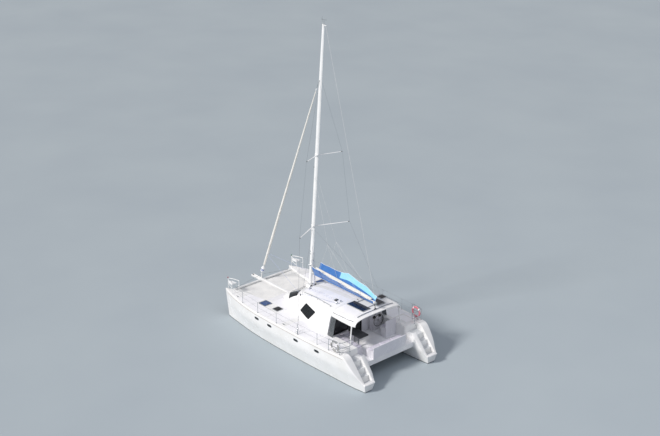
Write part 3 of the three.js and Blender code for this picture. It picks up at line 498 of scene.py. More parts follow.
def braid(name, light, dark):
    """Braided polyester rope: strands wound at 45 degrees, drawn 12 mm apart, with a contrasting fleck."""
    strands = [("TexWave", 1 / 26, 0.0008, {"Distortion": 0.3, "bands_direction": "DIAGONAL"})]
    return surface(name, light, dark, 0.2, (0.7, 0.85), 0.1, strands, banded=True, IOR=1.5)


def moulded(name, light, dark, low=0.3, high=0.5, grain=0.02):
    """A plain moulded or rolled finish with a fine grain, such as plastic, vinyl, rubber or paint."""
    return surface(name, light, dark, 0.2, (low, high), 0.1, [("TexNoise", grain, 0.0005, {"Detail": 3.0})],
                   IOR=1.5)


# Gelcoat: glossy white; a lilac grey that paints the shade in the cockpit under the hardtop; a greyer white
# that paints the shade under the bridgedeck.
WHITE = gelcoat("polished_white_gelcoat")
PAINTED_SHADE_GELCOAT = gelcoat("cockpit_gelcoat_painted_shade", "#E9E9EE", "#DEDEE6")
PAINTED_SHADE_BRIDGEDECK = gelcoat("bridgedeck_gelcoat_painted_shade", "#F1F2F4", "#E4E5E9")
HULL = painted_below()
# Moulded non-skid: a dull off-white covered in small raised diamonds, 12 mm apart on the real deck and drawn
# 36 mm apart so that they show, with traffic wear in slow patches.
NONSKID = surface("nonskid_gelcoat", "#F3F4F7", "#E9EAEF", 0.7, (0.6, 0.8), 0.5, [
    ("TexVoronoi", 0.036, -0.0015, {"Randomness": 0.0, "distance": "CHEBYCHEV",
                                    "lay": {"Rotation": (0, 0, math.radians(45))}})], IOR=1.5)
# Grey moulded rubber on the stern steps: matt, with ribs across the step 20 mm apart.
TREAD = surface("grey_tread_rubber", "#D4D7DA", "#C6CACD", 0.2, (0.75, 0.9), 0.2, [
    ("TexWave", 0.04, 0.0015, {"Distortion": 0.0, "bands_direction": "X"})], IOR=1.52)
# Eroding antifouling paint: dead matt blue-black, mottled where it has worn, rolled on in short strokes.
BOTTOM = surface("antifouling_paint", "#22303B", "#2F3E48", 0.25, (0.75, 0.92), 0.3, [
    ("TexNoise", 0.02, 0.001, {"Detail": 3.0})], IOR=1.5)
# White two-pack paint on extruded aluminium: satin gloss, with faint draw lines along the extrusion.
SPAR = surface("painted_aluminium_spar", "#F5F6F6", "#EAECEC", 0.5, (0.22, 0.36), 0.3, [
    ("TexNoise", 0.012, 0.0002, {"Detail": 2.0, "lay": {"Scale": (1, 1, 0.05)}})],
    IOR=1.5, Coat_Weight=0.2, Coat_Roughness=0.15)
# Bright stainless, dull silver and dull black anodising, and a warm brown cast bronze.
STEEL = metal("polished_stainless_steel", "#D5D8DA", "#BCC1C5", 0.12, 0.25)
ANODISED = metal("anodised_aluminium", "#B9BDC0", "#A3A8AC", 0.3, 0.42)
BLACK_FRAME = metal("black_anodised_aluminium", "#2A2C2F", "#1D1F22", 0.3, 0.45)
BRONZE = metal("cast_bronze", "#B08A4A", "#8E6C38", 0.28, 0.45)
# Window and hatch panes that read near-black, blue and smoky grey, and the lamps' bright lenses.
TINTED = acrylic("tinted_acrylic", "#0B0D10", "#15181C", 0.35)
BLUE_PANE = acrylic("blue_tinted_acrylic", "#2F4E86", "#46669C", 0.25)
SCREEN = acrylic("grey_side_screen_acrylic", "#6E7478", "#80868A", 0.55)
RED_LENS = acrylic("red_lamp_lens", "#B81822", "#D02A33", 0.2)
GREEN_LENS = acrylic("green_lamp_lens", "#0F7A3A", "#1B9550", 0.2)
CLEAR_LENS = acrylic("clear_lamp_lens", "#E6EAEC", "#F5F7F8", 0.5)
# Glass over dark silicon: square cells 158 mm wide with pale gaps 4 mm wide and fine silver fingers.
SOLAR = surface("solar_cells_under_glass", "#090D1C", "#0E1428", None, (0.12, 0.22), 0.2, [
    ("TexWave", 0.0625, 0.0002, {"bands_direction": "Y"})], IOR=1.45, Coat_Weight=0.3, Coat_Roughness=0.05,
    cells={"Mortar": linear("#5E6570"), "Scale": 1.0, "Brick Width": 0.158, "Row Height": 0.158,
           "Mortar Size": 0.0022, "Mortar Smooth": 0.1})
# The cover's royal blue; a pale blue, painted sunlight on the inside of its starboard side; navy straps and
# white sleeves.
CANVAS = canvas("royal_blue_canvas", "#447CC2", "#386CAE")
SUNLIT_PAINT_CANVAS = canvas("pale_blue_painted_sunlight_canvas", "#A2DCF2", "#8CD0EA")
NAVY = canvas("navy_webbing", "#1B3A8C", "#16307A")
BATTEN = canvas("white_batten_sleeve", "#EEF1F4", "#DDE3E8")
# Woven polyester sailcloth: a stiff, dense, creamy white cloth with small crinkles and a faint sheen.
CLOTH = surface("woven_polyester_sailcloth", "#F6F4EE", "#EAE8E0", 0.4, (0.55, 0.75), 0.15, [
    ("TexVoronoi", 0.09, 0.006, {"Randomness": 1.0, "feature": "SMOOTH_F1"}),
    ("TexWave", 1 / 60, 0.0003, {"Distortion": 0.4, "bands_direction": "DIAGONAL"})], IOR=1.5,
    Sheen_Weight=0.2)
# Marine vinyl over foam: pale lilac grey with a leathery pebble 12 mm wide, dull, darker where it is sat on.
VINYL = surface("marine_vinyl_upholstery", "#D2D0DC", "#BFBDCC", 0.4, (0.45, 0.65), 0.2, [
    ("TexVoronoi", 0.012, 0.0008, {})], IOR=1.5)
# White polyester net webbing: matt, ribbed across every 8 mm, greyed by the weather.
NET = surface("polyester_net_webbing", "#F2F2F0", "#E2E3E2", 0.5, (0.75, 0.9), 0.2, [
    ("TexWave", 1 / 38, 0.0008, {"bands_direction": "DIAGONAL"})], IOR=1.5)
ROPE = braid("white_braided_rope", "#EDEDEA", "#C6C9CC")
BLUE_ROPE = braid("blue_flecked_rope", "#DDE3EE", "#3B5FA8")
# Varnished light oak joinery: grain lines about 15 mm apart running fore and aft.
OAK = surface("varnished_light_oak", "#C9AC82", "#A98A62", 0.2, (0.35, 0.5), 0.3, [
    ("TexWave", 0.1, 0.0003, {"Distortion": 4.0, "Detail": 3.0, "bands_direction": "Y",
                              "lay": {"Scale": (0.12, 1, 1)}})],
    banded=True, IOR=1.52, Coat_Weight=0.4, Coat_Roughness=0.2)
# Plain rubbers, plastics, vinyls and paints, each named for its colour.
STRAKE = moulded("grey_rubbing_strake", "#C9C6C2", "#B5B2AE", 0.4, 0.6)
RUBBER = moulded("black_rubber", "#17181A", "#222326", 0.55, 0.75)
BLACK = moulded("black_moulded_plastic", "#101113", "#1B1C1F", 0.3, 0.45)
GREY = moulded("grey_moulded_plastic", "#AEB2B5", "#9BA0A4")
# The table top's charcoal is painted shade: a dark top that stands for the shade under the hardtop.
PAINTED_SHADE_TABLE_TOP = moulded("charcoal_table_top_painted_shade", "#2B2E33", "#212429", 0.3, 0.45)
BUOY_GREY = moulded("grey_buoy_vinyl", "#A2A3A2", "#929392", 0.4, 0.6)
BUOY_RED = moulded("faded_red_buoy_vinyl", "#D9808D", "#C86C7A", 0.4, 0.6)
TAPE = moulded("white_reflective_tape", "#F5F6F7", "#E4E6E8", 0.15, 0.3)
ENGINE = moulded("satin_engine_paint", "#8A959D", "#77828A", 0.35, 0.5)
PIPING = moulded("white_vinyl_piping", "#E4E3EA", "#D3D2DC", 0.4, 0.55)
LEATHER = moulded("black_wheel_leather", "#1A1A1C", "#26262A", 0.5, 0.7, 0.006)
BOARD = moulded("white_polyethylene_board", "#F0F2F3", "#E2E6E8", 0.45, 0.6)


# Hulls. Columns: place of the deck and of the keel along the boat, keel depth, waterline outside and inside,
# deck edge outside and inside, deck height.
HULL_ROWS = np.array([
    [-6.15, -5.80, -0.06, 2.47, 2.01, 2.80, 1.80, 1.72],
    [-5.45, -5.35, -0.17, 2.53, 1.97, 2.89, 1.74, 1.72],
    [-5.00, -4.98, -0.24, 2.57, 1.94, 2.95, 1.70, 1.72],
    [-4.40, -4.40, -0.34, 2.60, 1.91, 3.00, 1.70, 1.72],
    [-3.20, -3.20, -0.50, 2.64, 1.88, 3.07, 1.70, 1.72],
    [-1.50, -1.50, -0.64, 2.70, 1.865, 3.12, 1.70, 1.72],
    [0.50, 0.50, -0.67, 2.715, 1.865, 3.13, 1.70, 1.72],
    [2.20, 2.18, -0.65, 2.68, 1.90, 3.095, 1.70, 1.72],
    [2.90, 2.85, -0.63, 2.64, 1.94, 3.04, 1.70, 1.72],
    [3.50, 3.42, -0.60, 2.59, 1.99, 2.95, 1.77, 1.71],
    [4.50, 4.35, -0.52, 2.475, 2.11, 2.74, 1.93, 1.685],
    [5.30, 5.08, -0.40, 2.385, 2.215, 2.50, 2.12, 1.65],
    [5.75, 5.48, -0.20, 2.308, 2.292, 2.335, 2.265, 1.62],
])
# The stern's upper edge, where the bulwark runs down to the water: along, height.
BULWARK = np.array([[-6.4, 0.47], [-5.88, 0.48], [-5.76, 0.57], [-5.52, 0.85], [-5.25, 1.16], [-5.0, 1.44],
                    [-4.8, 1.64], [-4.6, 1.72], [-4.4, 1.72]])
STEPS = [(-4.92, -4.40, 1.36), (-5.22, -4.92, 1.04), (-5.50, -5.22, 0.72), (-5.79, -5.50, 0.40)]
STEP_Y = (1.95, 2.52)
EDGE_R = 0.045


def deck_out(x):
    """Across of the deck's outer edge."""
    return columns_at(HULL_ROWS, x)[4]


def deck_in(x):
    """Across of the deck's inner edge."""
    return columns_at(HULL_ROWS, x)[5]


def deck_height(x, y=0):
    """Height of the deck at a place along; it is level across."""
    return columns_at(HULL_ROWS, np.ravel(x))[6].reshape(np.shape(x))


def top_height(x, deck_z):
    """The hull's upper edge: the deck, or the bulwark where that is lower."""
    return np.minimum(deck_z, columns_at(BULWARK, np.clip(x, BULWARK[0, 0], BULWARK[-1, 0]))[0])


def flare(part):
    """How far out the topside stands at some shares of the deck's height, from the waterline's breadth at 0
    to the deck's at 1: a smooth line through four known shares, drawn a fifth of the way to straight
    pieces."""
    known = ([0, 0.3, 0.62, 1], [0, 0.42, 0.86, 1])
    part = np.asarray(part, float)
    return 0.2 * np.interp(part, *known) + 0.8 * through(*known, part)


def topside(x, z):
    """Across of the hull's outer side at some places along and heights."""
    x, z = np.broadcast_arrays(np.asarray(x, float), np.asarray(z, float))
    _, _, water_out, _, out, _, deck_z = columns_at(HULL_ROWS, x.ravel())
    return (water_out + (out - water_out) * flare(z.ravel() / deck_z)).reshape(x.shape)


def hull_shape():
    """One hull as a section carried along it. Below the water the section is a half ellipse as deep as the
    keel. Above, the outside flares smoothly to the deck edge, and the inside stands straight down to the
    tunnel. Each section leans with the stem and the stern: a point's place along goes from the keel's to the
    deck's with its height. The edges are quarter circles, and the stem is closed by sections that shrink on
    a quarter circle."""
    x_deck = np.r_[np.linspace(-6.15, -4.3, 34), np.linspace(-4.25, 4.9, 50), np.linspace(5.0, 5.75, 20)]
    x_keel, keel_z, water_out, water_in, out, inn, deck_z = columns_at(HULL_ROWS, x_deck)
    top = deck_z.copy()
    for _ in range(12):
        lean = (top - keel_z) / (deck_z - keel_z)
        top = top_height(x_keel + (x_deck - x_keel) * lean, deck_z)
    middle = (water_out + water_in) / 2
    angle = np.linspace(0, np.pi / 2, 12)[:-1]
    rise = np.linspace(0, 1, 14)
    round_off = np.linspace(0, np.pi / 2, 6)[1:]
    rings = []
    for i in range(len(x_deck)):
        edge = min(EDGE_R, 0.3 * (out[i] - inn[i]))
        side_y = water_out[i] + (out[i] - water_out[i]) * flare(rise * (top[i] - edge) / deck_z[i])
        rim = side_y[-1]
        inner_z = (top[i] - 0.02) * np.linspace(1, 0, 12)
        inward = np.interp(inner_z, [0, 0.4, 0.74, 2], [0, 0.55, 1, 1])
        inner_y = water_in[i] + (inn[i] - water_in[i]) * inward
        deck_y = np.linspace(rim - edge, inner_y[0] + 0.02, 6)[1:]
        y, z = np.concatenate([
            [middle[i] + (water_out[i] - middle[i]) * np.sin(angle), keel_z[i] * np.cos(angle)],
            [side_y, (top[i] - edge) * rise],
            [rim - edge * (1 - np.cos(round_off)), top[i] - edge + edge * np.sin(round_off)],
            [deck_y, np.full(5, top[i])],
            [inner_y, inner_z],
            [middle[i] + (water_in[i] - middle[i]) * np.sin(angle[:0:-1]), keel_z[i] * np.cos(angle[:0:-1])],
        ], axis=1)
        lean = (z - keel_z[i]) / (deck_z[i] - keel_z[i])
        rings.append(np.stack([x_keel[i] + (x_deck[i] - x_keel[i]) * lean, y, z], axis=1))
    nose = rings[-1]
    centre = [0, (nose[:, 1].max() + nose[:, 1].min()) / 2, 0]
    for turn in np.linspace(0, np.pi / 2, 5)[1:-1]:
        rings.append((nose - centre) * [1, math.cos(turn), 1] + centre + [0.03 * math.sin(turn), 0, 0])
    return closed(rings)


def hull_tools():
    """What is cut from a hull: the stern's steps, the engine room, the wells under the hatches, the leg's
    slot and the rudder stock's hole."""
    shapes = [block((back, STEP_Y[0], z), (front, STEP_Y[1], 2.2)) for back, front, z in STEPS]
    shapes.append(block((-4.92, 1.6, STEPS[0][2]), (-4.40, STEP_Y[0] + 0.001, 2.2)))
    shapes.append(block((-4.12, 2.06, 0.3), (-3.32, 2.62, 2.2)))
    for name in ("port_fore_hatch", "port_cabin_hatch"):
        low, high = ends_of(name)
        shapes.append(block((*(low[:2] + 0.04), DECK_Z - 0.35), (*(high[:2] - 0.04), 2.2)))
    shapes.append(block((-3.78, HULL_Y - 0.055, -1.0), (-3.48, HULL_Y + 0.055, 0.301)))
    shapes.append(rod((-5.05, HULL_Y, -0.4), (-5.05, HULL_Y, 0.06), 0.025, sides=20))
    return shapes


def make_hulls():
    shape = hull_shape()
    for side, sign in SIDES.items():
        skin, *tools = [some if sign > 0 else mirrored(some) for some in [shape] + hull_tools()]
        hull = bare(f"{side}_hull_skin", skin)
        cut(hull, tools, solver="EXACT")
        dress(hull, HULL, slot="gelcoat", replaces=[f"{side}_hull"])


# Cabin. Columns: place along, half breadth at the deck and at the shoulder, shoulder height, crown height.
CABIN_ROWS = np.array([
    [-2.36, 1.94, 1.60, 2.86, 3.10],
    [-1.20, 1.85, 1.48, 2.82, 3.06],
    [-0.30, 1.74, 1.35, 2.76, 3.00],
    [0.40, 1.62, 1.23, 2.68, 2.90],
    [1.00, 1.48, 1.11, 2.56, 2.73],
    [1.60, 1.29, 0.98, 2.33, 2.45],
    [2.10, 1.08, 0.83, 2.10, 2.20],
    [2.45, 0.86, 0.66, 1.93, 1.99],
    [2.70, 0.56, 0.42, 1.80, 1.815],
])
# Hardtop. Columns: place along, half breadth at the shoulder, shoulder height, crown height.
ROOF_ROWS = np.array([
    [-4.10, 1.56, 2.85, 3.06],
    [-3.90, 1.64, 2.86, 3.085],
    [-3.20, 1.65, 2.87, 3.105],
    [-2.365, 1.60, 2.86, 3.10],
])
ROOF_LIP = 0.06
# Window outlines: the band across the raked front in plan, half of it, and the side window in elevation.
FRONT_BAND = np.array([(2.08, 0), (2.06, 0.42), (1.96, 0.76), (1.70, 1.13), (0.90, 1.18), (1.01, 0.82),
                       (1.16, 0.72), (1.16, 0.26), (1.48, 0.20), (1.48, 0)])
SIDE_WINDOW = np.array([(0.25, 2.04), (-0.11, 2.56), (-1.11, 2.45), (-0.64, 1.88)])
PANE_GAP = 0.012
SEAL_WIDTH = 0.011


def arch(shoulder, shoulder_z, crown_z, inset=0.0):
    """A section's upper part, from the top of the leaning side over the rounded shoulder to the crown."""
    rise = crown_z - shoulder_z
    line = [(shoulder + 0.06 - inset, shoulder_z - 0.35 * rise)]
    for part in (0.25, 0.5, 0.75, 1.0):
        line.append(((shoulder - inset) * math.cos(part * math.pi / 2.6) + 0.03 * (1 - part),
                     shoulder_z + (rise - inset) * math.sin(part * math.pi / 2)))
    return line + [(0.0, crown_z - inset)]


def cabin_half(row, inset=0.0, bottom=DECK_Z):
    """Half a cabin section: a leaning side from the deck, a rounded shoulder and a nearly flat crown."""
    foot = [(row[0] - inset, bottom), (row[0] - inset - 0.002, DECK_Z + 0.06)]
    return np.vstack([foot[:1], along(foot[1:] + arch(*row[1:], inset), 25)])


def both_halves(half):
    """A line up the port side and down the starboard side, from half of it."""
    return np.vstack([half, half[-2::-1] * [-1, 1]])


def cabin_volume(inset, bottom):
    """The cabin as its section carried from the bulkhead to the nose; inset draws the whole form inwards.
    The nose is closed by sections that sink to the deck on a quarter circle."""
    places = np.linspace(CABIN_ROWS[0, 0], CABIN_ROWS[-1, 0], 70)
    shift = np.where(places == places[0], -0.05 if inset else 0.0, -1.4 * inset)
    rings = [at_x(x, both_halves(cabin_half(row, inset, bottom)))
             for x, row in zip(places + shift, columns_at(CABIN_ROWS, places).T)]
    nose = rings[-1]
    for angle in (0.5, 1.0, 1.4):
        low = [0, 0, bottom]
        shrink = [1, 0.96 + 0.04 * math.cos(angle), 0.45 + 0.55 * math.cos(angle)]
        rings.append((nose - low) * shrink + low + [0.03 * math.sin(angle), 0, 0])
    return closed(rings)


def height_over(halves, x, y):
    """Height of a roof over some places in plan, from half its section at each place along."""
    x, y = np.broadcast_arrays(np.asarray(x, float), np.asarray(y, float))
    height = np.empty(x.shape)
    for i, place in np.ndenumerate(x):
        half = halves(place)
        height[i] = np.interp(abs(y[i]), half[::-1, 0], half[::-1, 1])
    return height


def cabin_top(x, y):
    return height_over(lambda place: cabin_half(columns_at(CABIN_ROWS, place)[:, 0])[1:], x, y)


def roof_top(x, y):
    return height_over(lambda place: along(arch(*columns_at(ROOF_ROWS, place)[:, 0]), 24), x, y)


def soft_corners(points, radius):
    """An outline whose corners are rounded by a curve that leaves each side at radius from the corner."""
    t = np.linspace(0, 1, 5)[:, None]
    made = []
    for before, corner, after in zip(np.roll(points, 1, axis=0), points, np.roll(points, -1, axis=0)):
        starts = [corner + (p - corner) * min(0.45, radius / np.linalg.norm(p - corner))
                  for p in (before, after)]
        made.append((1 - t) ** 2 * starts[0] + 2 * t * (1 - t) * corner + t * t * starts[1])
    return np.concatenate(made)


def drawn_in(outline, by):
    """An outline moved inwards by a distance, square to each side."""
    ahead = unit(np.roll(outline, -1, axis=0) - outline)
    normal = np.stack([-ahead[:, 1], ahead[:, 0]], axis=1)
    both = normal + np.roll(normal, 1, axis=0)
    both = both / np.maximum((both ** 2).sum(1, keepdims=True) / 2, 0.3)
    x, y = outline.T
    return outline + both * by * np.sign((x * np.roll(y, -1) - np.roll(x, -1) * y).sum())


def make_cabin():
    """The cabin's shell with its windows cut, the panes in them, and a thin black seal around each pane."""
    band = soft_corners(np.vstack([FRONT_BAND[1:-1], FRONT_BAND[-2:0:-1] * [1, -1]]), 0.06)
    side = soft_corners(SIDE_WINDOW, 0.09)
    # Each window: name, frame piece, outline, and the span, upright or across, that its cut runs through.
    windows = [("front_window", band, 1.9, 3.0, True), ("port_side_window", side, 0.8, 2.3, False),
               ("starboard_side_window", side, -2.3, -0.8, False)]
    shell = bare("cabin", cabin_volume(0.0, DECK_Z + 0.0004))
    cut(shell, [cabin_volume(WALL, DECK_Z - 0.05)])
    whole = shell.data.copy()
    cut(shell, [prism(*window[1:]) for window in windows])
    cut(shell, [block((1.01, -0.17, 2.52), (1.39, 0.17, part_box("mast")[0].z - 0.0003))], "UNION")
    dress(shell, WHITE, slot="gelcoat", replaces=["cabin_shell"])
    for name, outline, low, high, upright in windows:
        pane = shown(f"{name}_pane", whole.copy())
        cut(pane, [prism(drawn_in(outline, PANE_GAP), low, high, upright)], "INTERSECT")
        dress(pane, TINTED, slot="tinted_acrylic", replaces=[name])
    for name, (_, outline, low, high, upright) in zip(("window_seal_front", "window_seals_side"), windows):
        seal = shown(name, whole.copy())
        cut(seal, [prism(drawn_in(outline, 0.0008), low, high, upright)], "INTERSECT")
        cut(seal, [prism(drawn_in(outline, SEAL_WIDTH), low - 0.1, high + 0.1, upright)])
        if not upright:
            other = shown(name + "_starboard", seal.data.copy())
            other.data.transform(Matrix.Diagonal((1, -1, 1, 1)))
            other.data.flip_normals()
            dress(other, RUBBER)
        dress(seal, RUBBER)


def roof_ring(row, x, draw=0.0):
    """A closed ring around the hardtop's thickness; draw closes the outer and inner lines on each other."""
    lines = []
    for inset in (draw, WALL - draw):
        line = arch(*row, inset)
        lines.append(both_halves(along([(line[0][0], line[0][1] - ROOF_LIP + draw)] + line, 30)))
    outer, inner = lines
    angle = np.linspace(0, np.pi, 6)[1:-1, None]
    rims = [(end + start) / 2 + (end - start) / 2 * np.cos(angle) + np.array([0, -0.018]) * np.sin(angle)
            for end, start in ((outer[-1], inner[-1]), (inner[0], outer[0]))]
    return at_x(x, np.vstack([outer, rims[0], inner[::-1], rims[1]]))


def make_hardtop():
    """The hardtop: an arched sheet 50 mm thick with a turned-down rim, a rounded after edge, a hole with a
    raised frame over the helm, and two posts."""
    places = np.linspace(ROOF_ROWS[0, 0], ROOF_ROWS[-1, 0], 40)
    rows = columns_at(ROOF_ROWS, places).T
    rings = [roof_ring(rows[0], places[0] - 0.022 * math.sin(angle), 0.023 * (1 - math.cos(angle)))
             for angle in (1.4, 1.0, 0.5)]
    rings += [roof_ring(row, x) for row, x in zip(rows, places)]
    roof = bare("hardtop_canopy", closed(rings, flat=True))
    low, high = ends_of("helm_skylight")
    middle = ((low + high) / 2)[:2]
    cut(roof, [tile(0.40, 0.40, 0.06, middle, 2.98, low[2] - 0.0006)], "UNION")
    cut(roof, [tile(0.32, 0.32, 0.05, middle, 2.6, 3.3)])
    dress(roof, WHITE, slot="gelcoat", replaces=["hardtop"])
    posts = []
    for sign in SIDES.values():
        foot = (-3.95, sign * 1.79, DECK_Z)
        posts.append(rod(foot, (-3.90, sign * 1.64, 2.83), 0.034, sides=20))
        posts.append(spun([(0, 0), (0.07, 0), (0.07, 0.008), (0.045, 0.014), (0.04, 0.03), (0, 0.03)], foot))
    make("hardtop_posts", posts, SPAR, slot="painted_spar")


def make_solar_panels():
    """Two framed panels on raised feet: cells behind glass, an anodised frame, a bar between them, and their
    lead, which goes through a gland in the roof."""
    low, high = ends_of("solar_panels")
    base, top, rim = low[2], high[2], 0.025
    frames, glass, feet = [], [], []
    for y0, y1 in ((high[1] - 0.55, high[1]), (low[1], low[1] + 0.55)):
        frames += [block((low[0], y, base), (high[0], y + rim, top)) for y in (y0, y1 - rim)]
        frames += [block((x, y0 + rim + 0.0005, base), (x + rim, y1 - rim - 0.0005, top))
                   for x in (low[0], high[0] - rim)]
        glass.append(block((low[0] + rim, y0 + rim, top - 0.012), (high[0] - rim, y1 - rim, top - 0.004)))
        for x in np.linspace(low[0] + 0.12, high[0] - 0.12, 3):
            for y in (y0 + 0.03, y1 - 0.03):
                feet.append(block((x - 0.03, y - 0.02, float(roof_top(x, y)) - 0.01),
                                  (x + 0.03, y + 0.02, base)))
    for x in (low[0] + 0.2, high[0] - 0.2):
        frames.append(block((x - 0.015, low[1] + 0.5505, base + 0.005),
                            (x + 0.015, high[1] - 0.5505, base + 0.025)))
    make("solar_panel_frames", frames, ANODISED, slot="solar_glass", bevel=0.003, replaces=["solar_panels"])
    make("solar_cells", glass, SOLAR, slot="solar_glass")
    make("solar_feet", feet, ANODISED, slot="painted_spar", bevel=0.003)
    bends = [(-2.62, 0.10), (-2.60, -0.05), (-2.50, -0.12), (-2.42, -0.13)]
    path = on_roof(along(bends, 20), 0.008, roof_top)
    gland = spun([(0, 0), (0.024, 0), (0.02, 0.016), (0.01, 0.024), (0, 0.024)], path[-1] - [0, 0, 0.01], 16)
    make("solar_lead", [carried(path, circle(0.005, 8)), gland], BLACK, slot="black_rim")


# Gear on the hulls. Portlights: place along, height. Cleat pads: place along, across, height of the top.
PORTLIGHTS = [(2.05, 1.38), (0.95, 1.37), (-1.20, 1.36), (-2.80, 1.35)]
CLEAT_PADS = [(4.30, 2.62, 1.70), (0.0, 2.90, DECK_Z + 0.008), (-4.25, 2.755, DECK_Z + 0.008)]
NONSKID_T = 0.003


def spaced(low, high, step=0.12, corner=0.06):
    """Places from low to high, closer together over the rounded corners."""
    ends = corner * (1 - np.cos(np.linspace(0, np.pi / 2, 6)))[:-1]
    middle = np.linspace(low + corner, high - corner, max(2, int((high - low) / step)))
    return np.r_[low + ends, middle, high - ends[::-1]]


def panel(places, inner, outer, height, corner=0.06, across=5):
    """A thin raised panel on a deck. Across it, points run evenly from inner to outer; near its two ends
    both edges draw in by r - sqrt(r^2 - (r - d)^2), d from the end, so its corners are round."""
    from_end = np.minimum(places - places.min(), places.max() - places)
    draw = corner - np.sqrt(corner ** 2 - np.clip(corner - from_end, 0, corner) ** 2)
    inner, outer = inner + draw, outer - draw
    y = inner[:, None] + (outer - inner)[:, None] * np.linspace(0, 1, across)
    x = np.broadcast_to(places[:, None], y.shape)
    upper = np.stack([x, y, height(x, y) + NONSKID_T], axis=-1)
    lower = upper - [0, 0, 2 * NONSKID_T]
    return closed(np.concatenate([upper, lower[:, ::-1]], axis=1), flat=True)


def make_deck_panels():
    """Non-skid panels: the foredecks, the decks beside the hatches and the cabin, the quarter decks and the
    strips outside and inside the hatches, each clear of the hatches, the cleats and the rails' feet."""
    shapes = []
    for low, high, inner, outer, corner in (
            (3.0, 4.1, "hull", "rail", 0.06), (1.32, 2.96, 2.36, "rail", 0.06),
            (-2.3, -0.2, "cabin", "rail", 0.06), (0.2, 1.26, "cabin", "rail", 0.06),
            (-3.2, -2.45, 1.98, "rail", 0.06), (-4.1, -3.24, 2.70, "rail", 0.05),
            (1.32, 2.5, "cabin", 1.66, 0.06)):
        x = spaced(low, high)
        edges = {"hull": deck_in(x) + 0.08, "rail": deck_out(x) - 0.13,
                 "cabin": columns_at(CABIN_ROWS, x)[0] + 0.05}
        shapes.append(panel(x, edges.get(inner, inner), edges.get(outer, outer), deck_height, corner))
    make_pair("deck_nonskid", shapes, NONSKID, slot="gelcoat")


def make_cleats():
    """Horn cleats on moulded pads: two legs on a base, and a bar whose round section thins and lifts towards
    both ends."""
    pads, cleats = [], []
    part = np.linspace(-1, 1, 15)
    for x, y, z in CLEAT_PADS:
        pads.append(tile(0.22, 0.07, 0.012, (x, y), z - 0.04, z, 0.002))
        bar = np.stack([x + 0.105 * part, np.full(15, y), z + 0.042 + 0.01 * part ** 2], axis=1)
        cleats += [carried(bar, circle(0.011, 10), 1 - 0.5 * np.abs(part) ** 3),
                   tile(0.14, 0.046, 0.02, (x, y), z, z + 0.006, 0.002)]
        cleats += [rod((x + s, y, z), (x + s, y, z + 0.042), 0.012, 0.009) for s in (-0.03, 0.03)]
    make_pair("cleat_pads", pads, WHITE, slot="gelcoat")
    make_pair("mooring_cleats", cleats, STEEL, slot="stainless")


def oval_on_hull(x, z, profile):
    """Ovals on the topside, one for each row of a profile of (share of the oval, distance off the hull)."""
    angle = around(28)
    square = (np.abs(np.cos(angle)) ** 3 + np.abs(np.sin(angle)) ** 3) ** (-1 / 3)
    rings = []
    for share, off in profile:
        along_x = x + 0.19 * share * square * np.cos(angle)
        up_z = z + 0.078 * share * square * np.sin(angle)
        rings.append(np.stack([along_x, topside(along_x, up_z) + off, up_z], axis=1))
    return np.array(rings)


def make_portlights():
    """Opening portlights low in the topsides: a rounded stainless frame with a dark pane set into it."""
    rim = [(1.0, -0.012), (1.0, 0.006), (0.97, 0.011), (0.88, 0.011), (0.85, 0.006), (0.85, -0.012),
           (1.0, -0.012)]
    pane = [(0.86, -0.01), (0.86, 0.004), (0.5, 0.005), (0.1, 0.005)]
    make_pair("portlight_frames", [grid(oval_on_hull(x, z, rim), joined=True) for x, z in PORTLIGHTS], STEEL,
              slot="stainless")
    make_pair("portlight_panes", [closed(oval_on_hull(x, z, pane)) for x, z in PORTLIGHTS], TINTED,
              slot="tinted_acrylic")


def make_rub_rails():
    """A half-round rubbing strake under each deck edge, closed at both ends."""
    x = np.linspace(-4.7, 5.45, 90)
    z = deck_height(x) - 0.125
    path = np.stack([x, topside(x, z) + 0.002, z], axis=1)
    sizes = np.clip(np.minimum(x + 4.7, 5.45 - x) / 0.15, 0.25, 1)
    make_pair("rub_rail", carried(path, circle(0.019, 12), sizes), STRAKE, slot="gelcoat")


def make_treads():
    """Ribbed rubber pads on the four stern steps and on the platform at the water."""
    width, middle = STEP_Y[1] - STEP_Y[0] - 0.07, sum(STEP_Y) / 2
    pads = [tile(front - back - 0.05, width, 0.03, ((back + front) / 2, middle), z - 0.001, z + 0.005, 0.002)
            for back, front, z in STEPS]
    pads.append(tile(0.14, 0.60, 0.03, (-5.905, 2.235), 0.4755, 0.4815, 0.002))
    make_pair("stern_treads", pads, TREAD, slot="gelcoat")


def foil(rows):
    """A streamlined blade over rows of (place of the leading edge, height, chord, thickness). The half
    thickness at a share s of the chord is 5 t (0.2969 sqrt(s) - 0.126 s - 0.3516 s^2 + 0.2843 s^3 - 0.1036
    s^4), the common four-digit section."""
    share = 0.5 * (1 - np.cos(np.linspace(0, np.pi, 24)))
    half = 5 * (0.2969 * np.sqrt(share) - 0.126 * share - 0.3516 * share ** 2 + 0.2843 * share ** 3
                - 0.1036 * share ** 4)
    rings = []
    for x, z, chord, thick in rows:
        port = np.stack([x - share * chord, HULL_Y + half * thick, np.full(24, z)], axis=1)
        rings.append(np.vstack([port, port[-2:0:-1] * [1, -1, 1] + [0, 2 * HULL_Y, 0]]))
    return closed(rings)


def blade_rows(lead, chord, thick, top, foot, tip=0.05):
    """Rows of a blade that tapers from top to foot, whose tip shrinks on a quarter circle."""
    part = np.linspace(0, 1, 6)
    x, z, size, width = (start + (end - start) * part
                         for start, end in (lead, (top, foot + tip), chord, thick))
    rows = list(zip(x, z, size, width))
    for angle in (0.5, 1.0, 1.45):
        shrink = math.cos(angle)
        rows.append((x[-1] - tip * (1 - shrink), foot + tip - tip * math.sin(angle),
                     size[-1] - 1.6 * tip * (1 - shrink), width[-1] * max(shrink, 0.15)))
    return rows


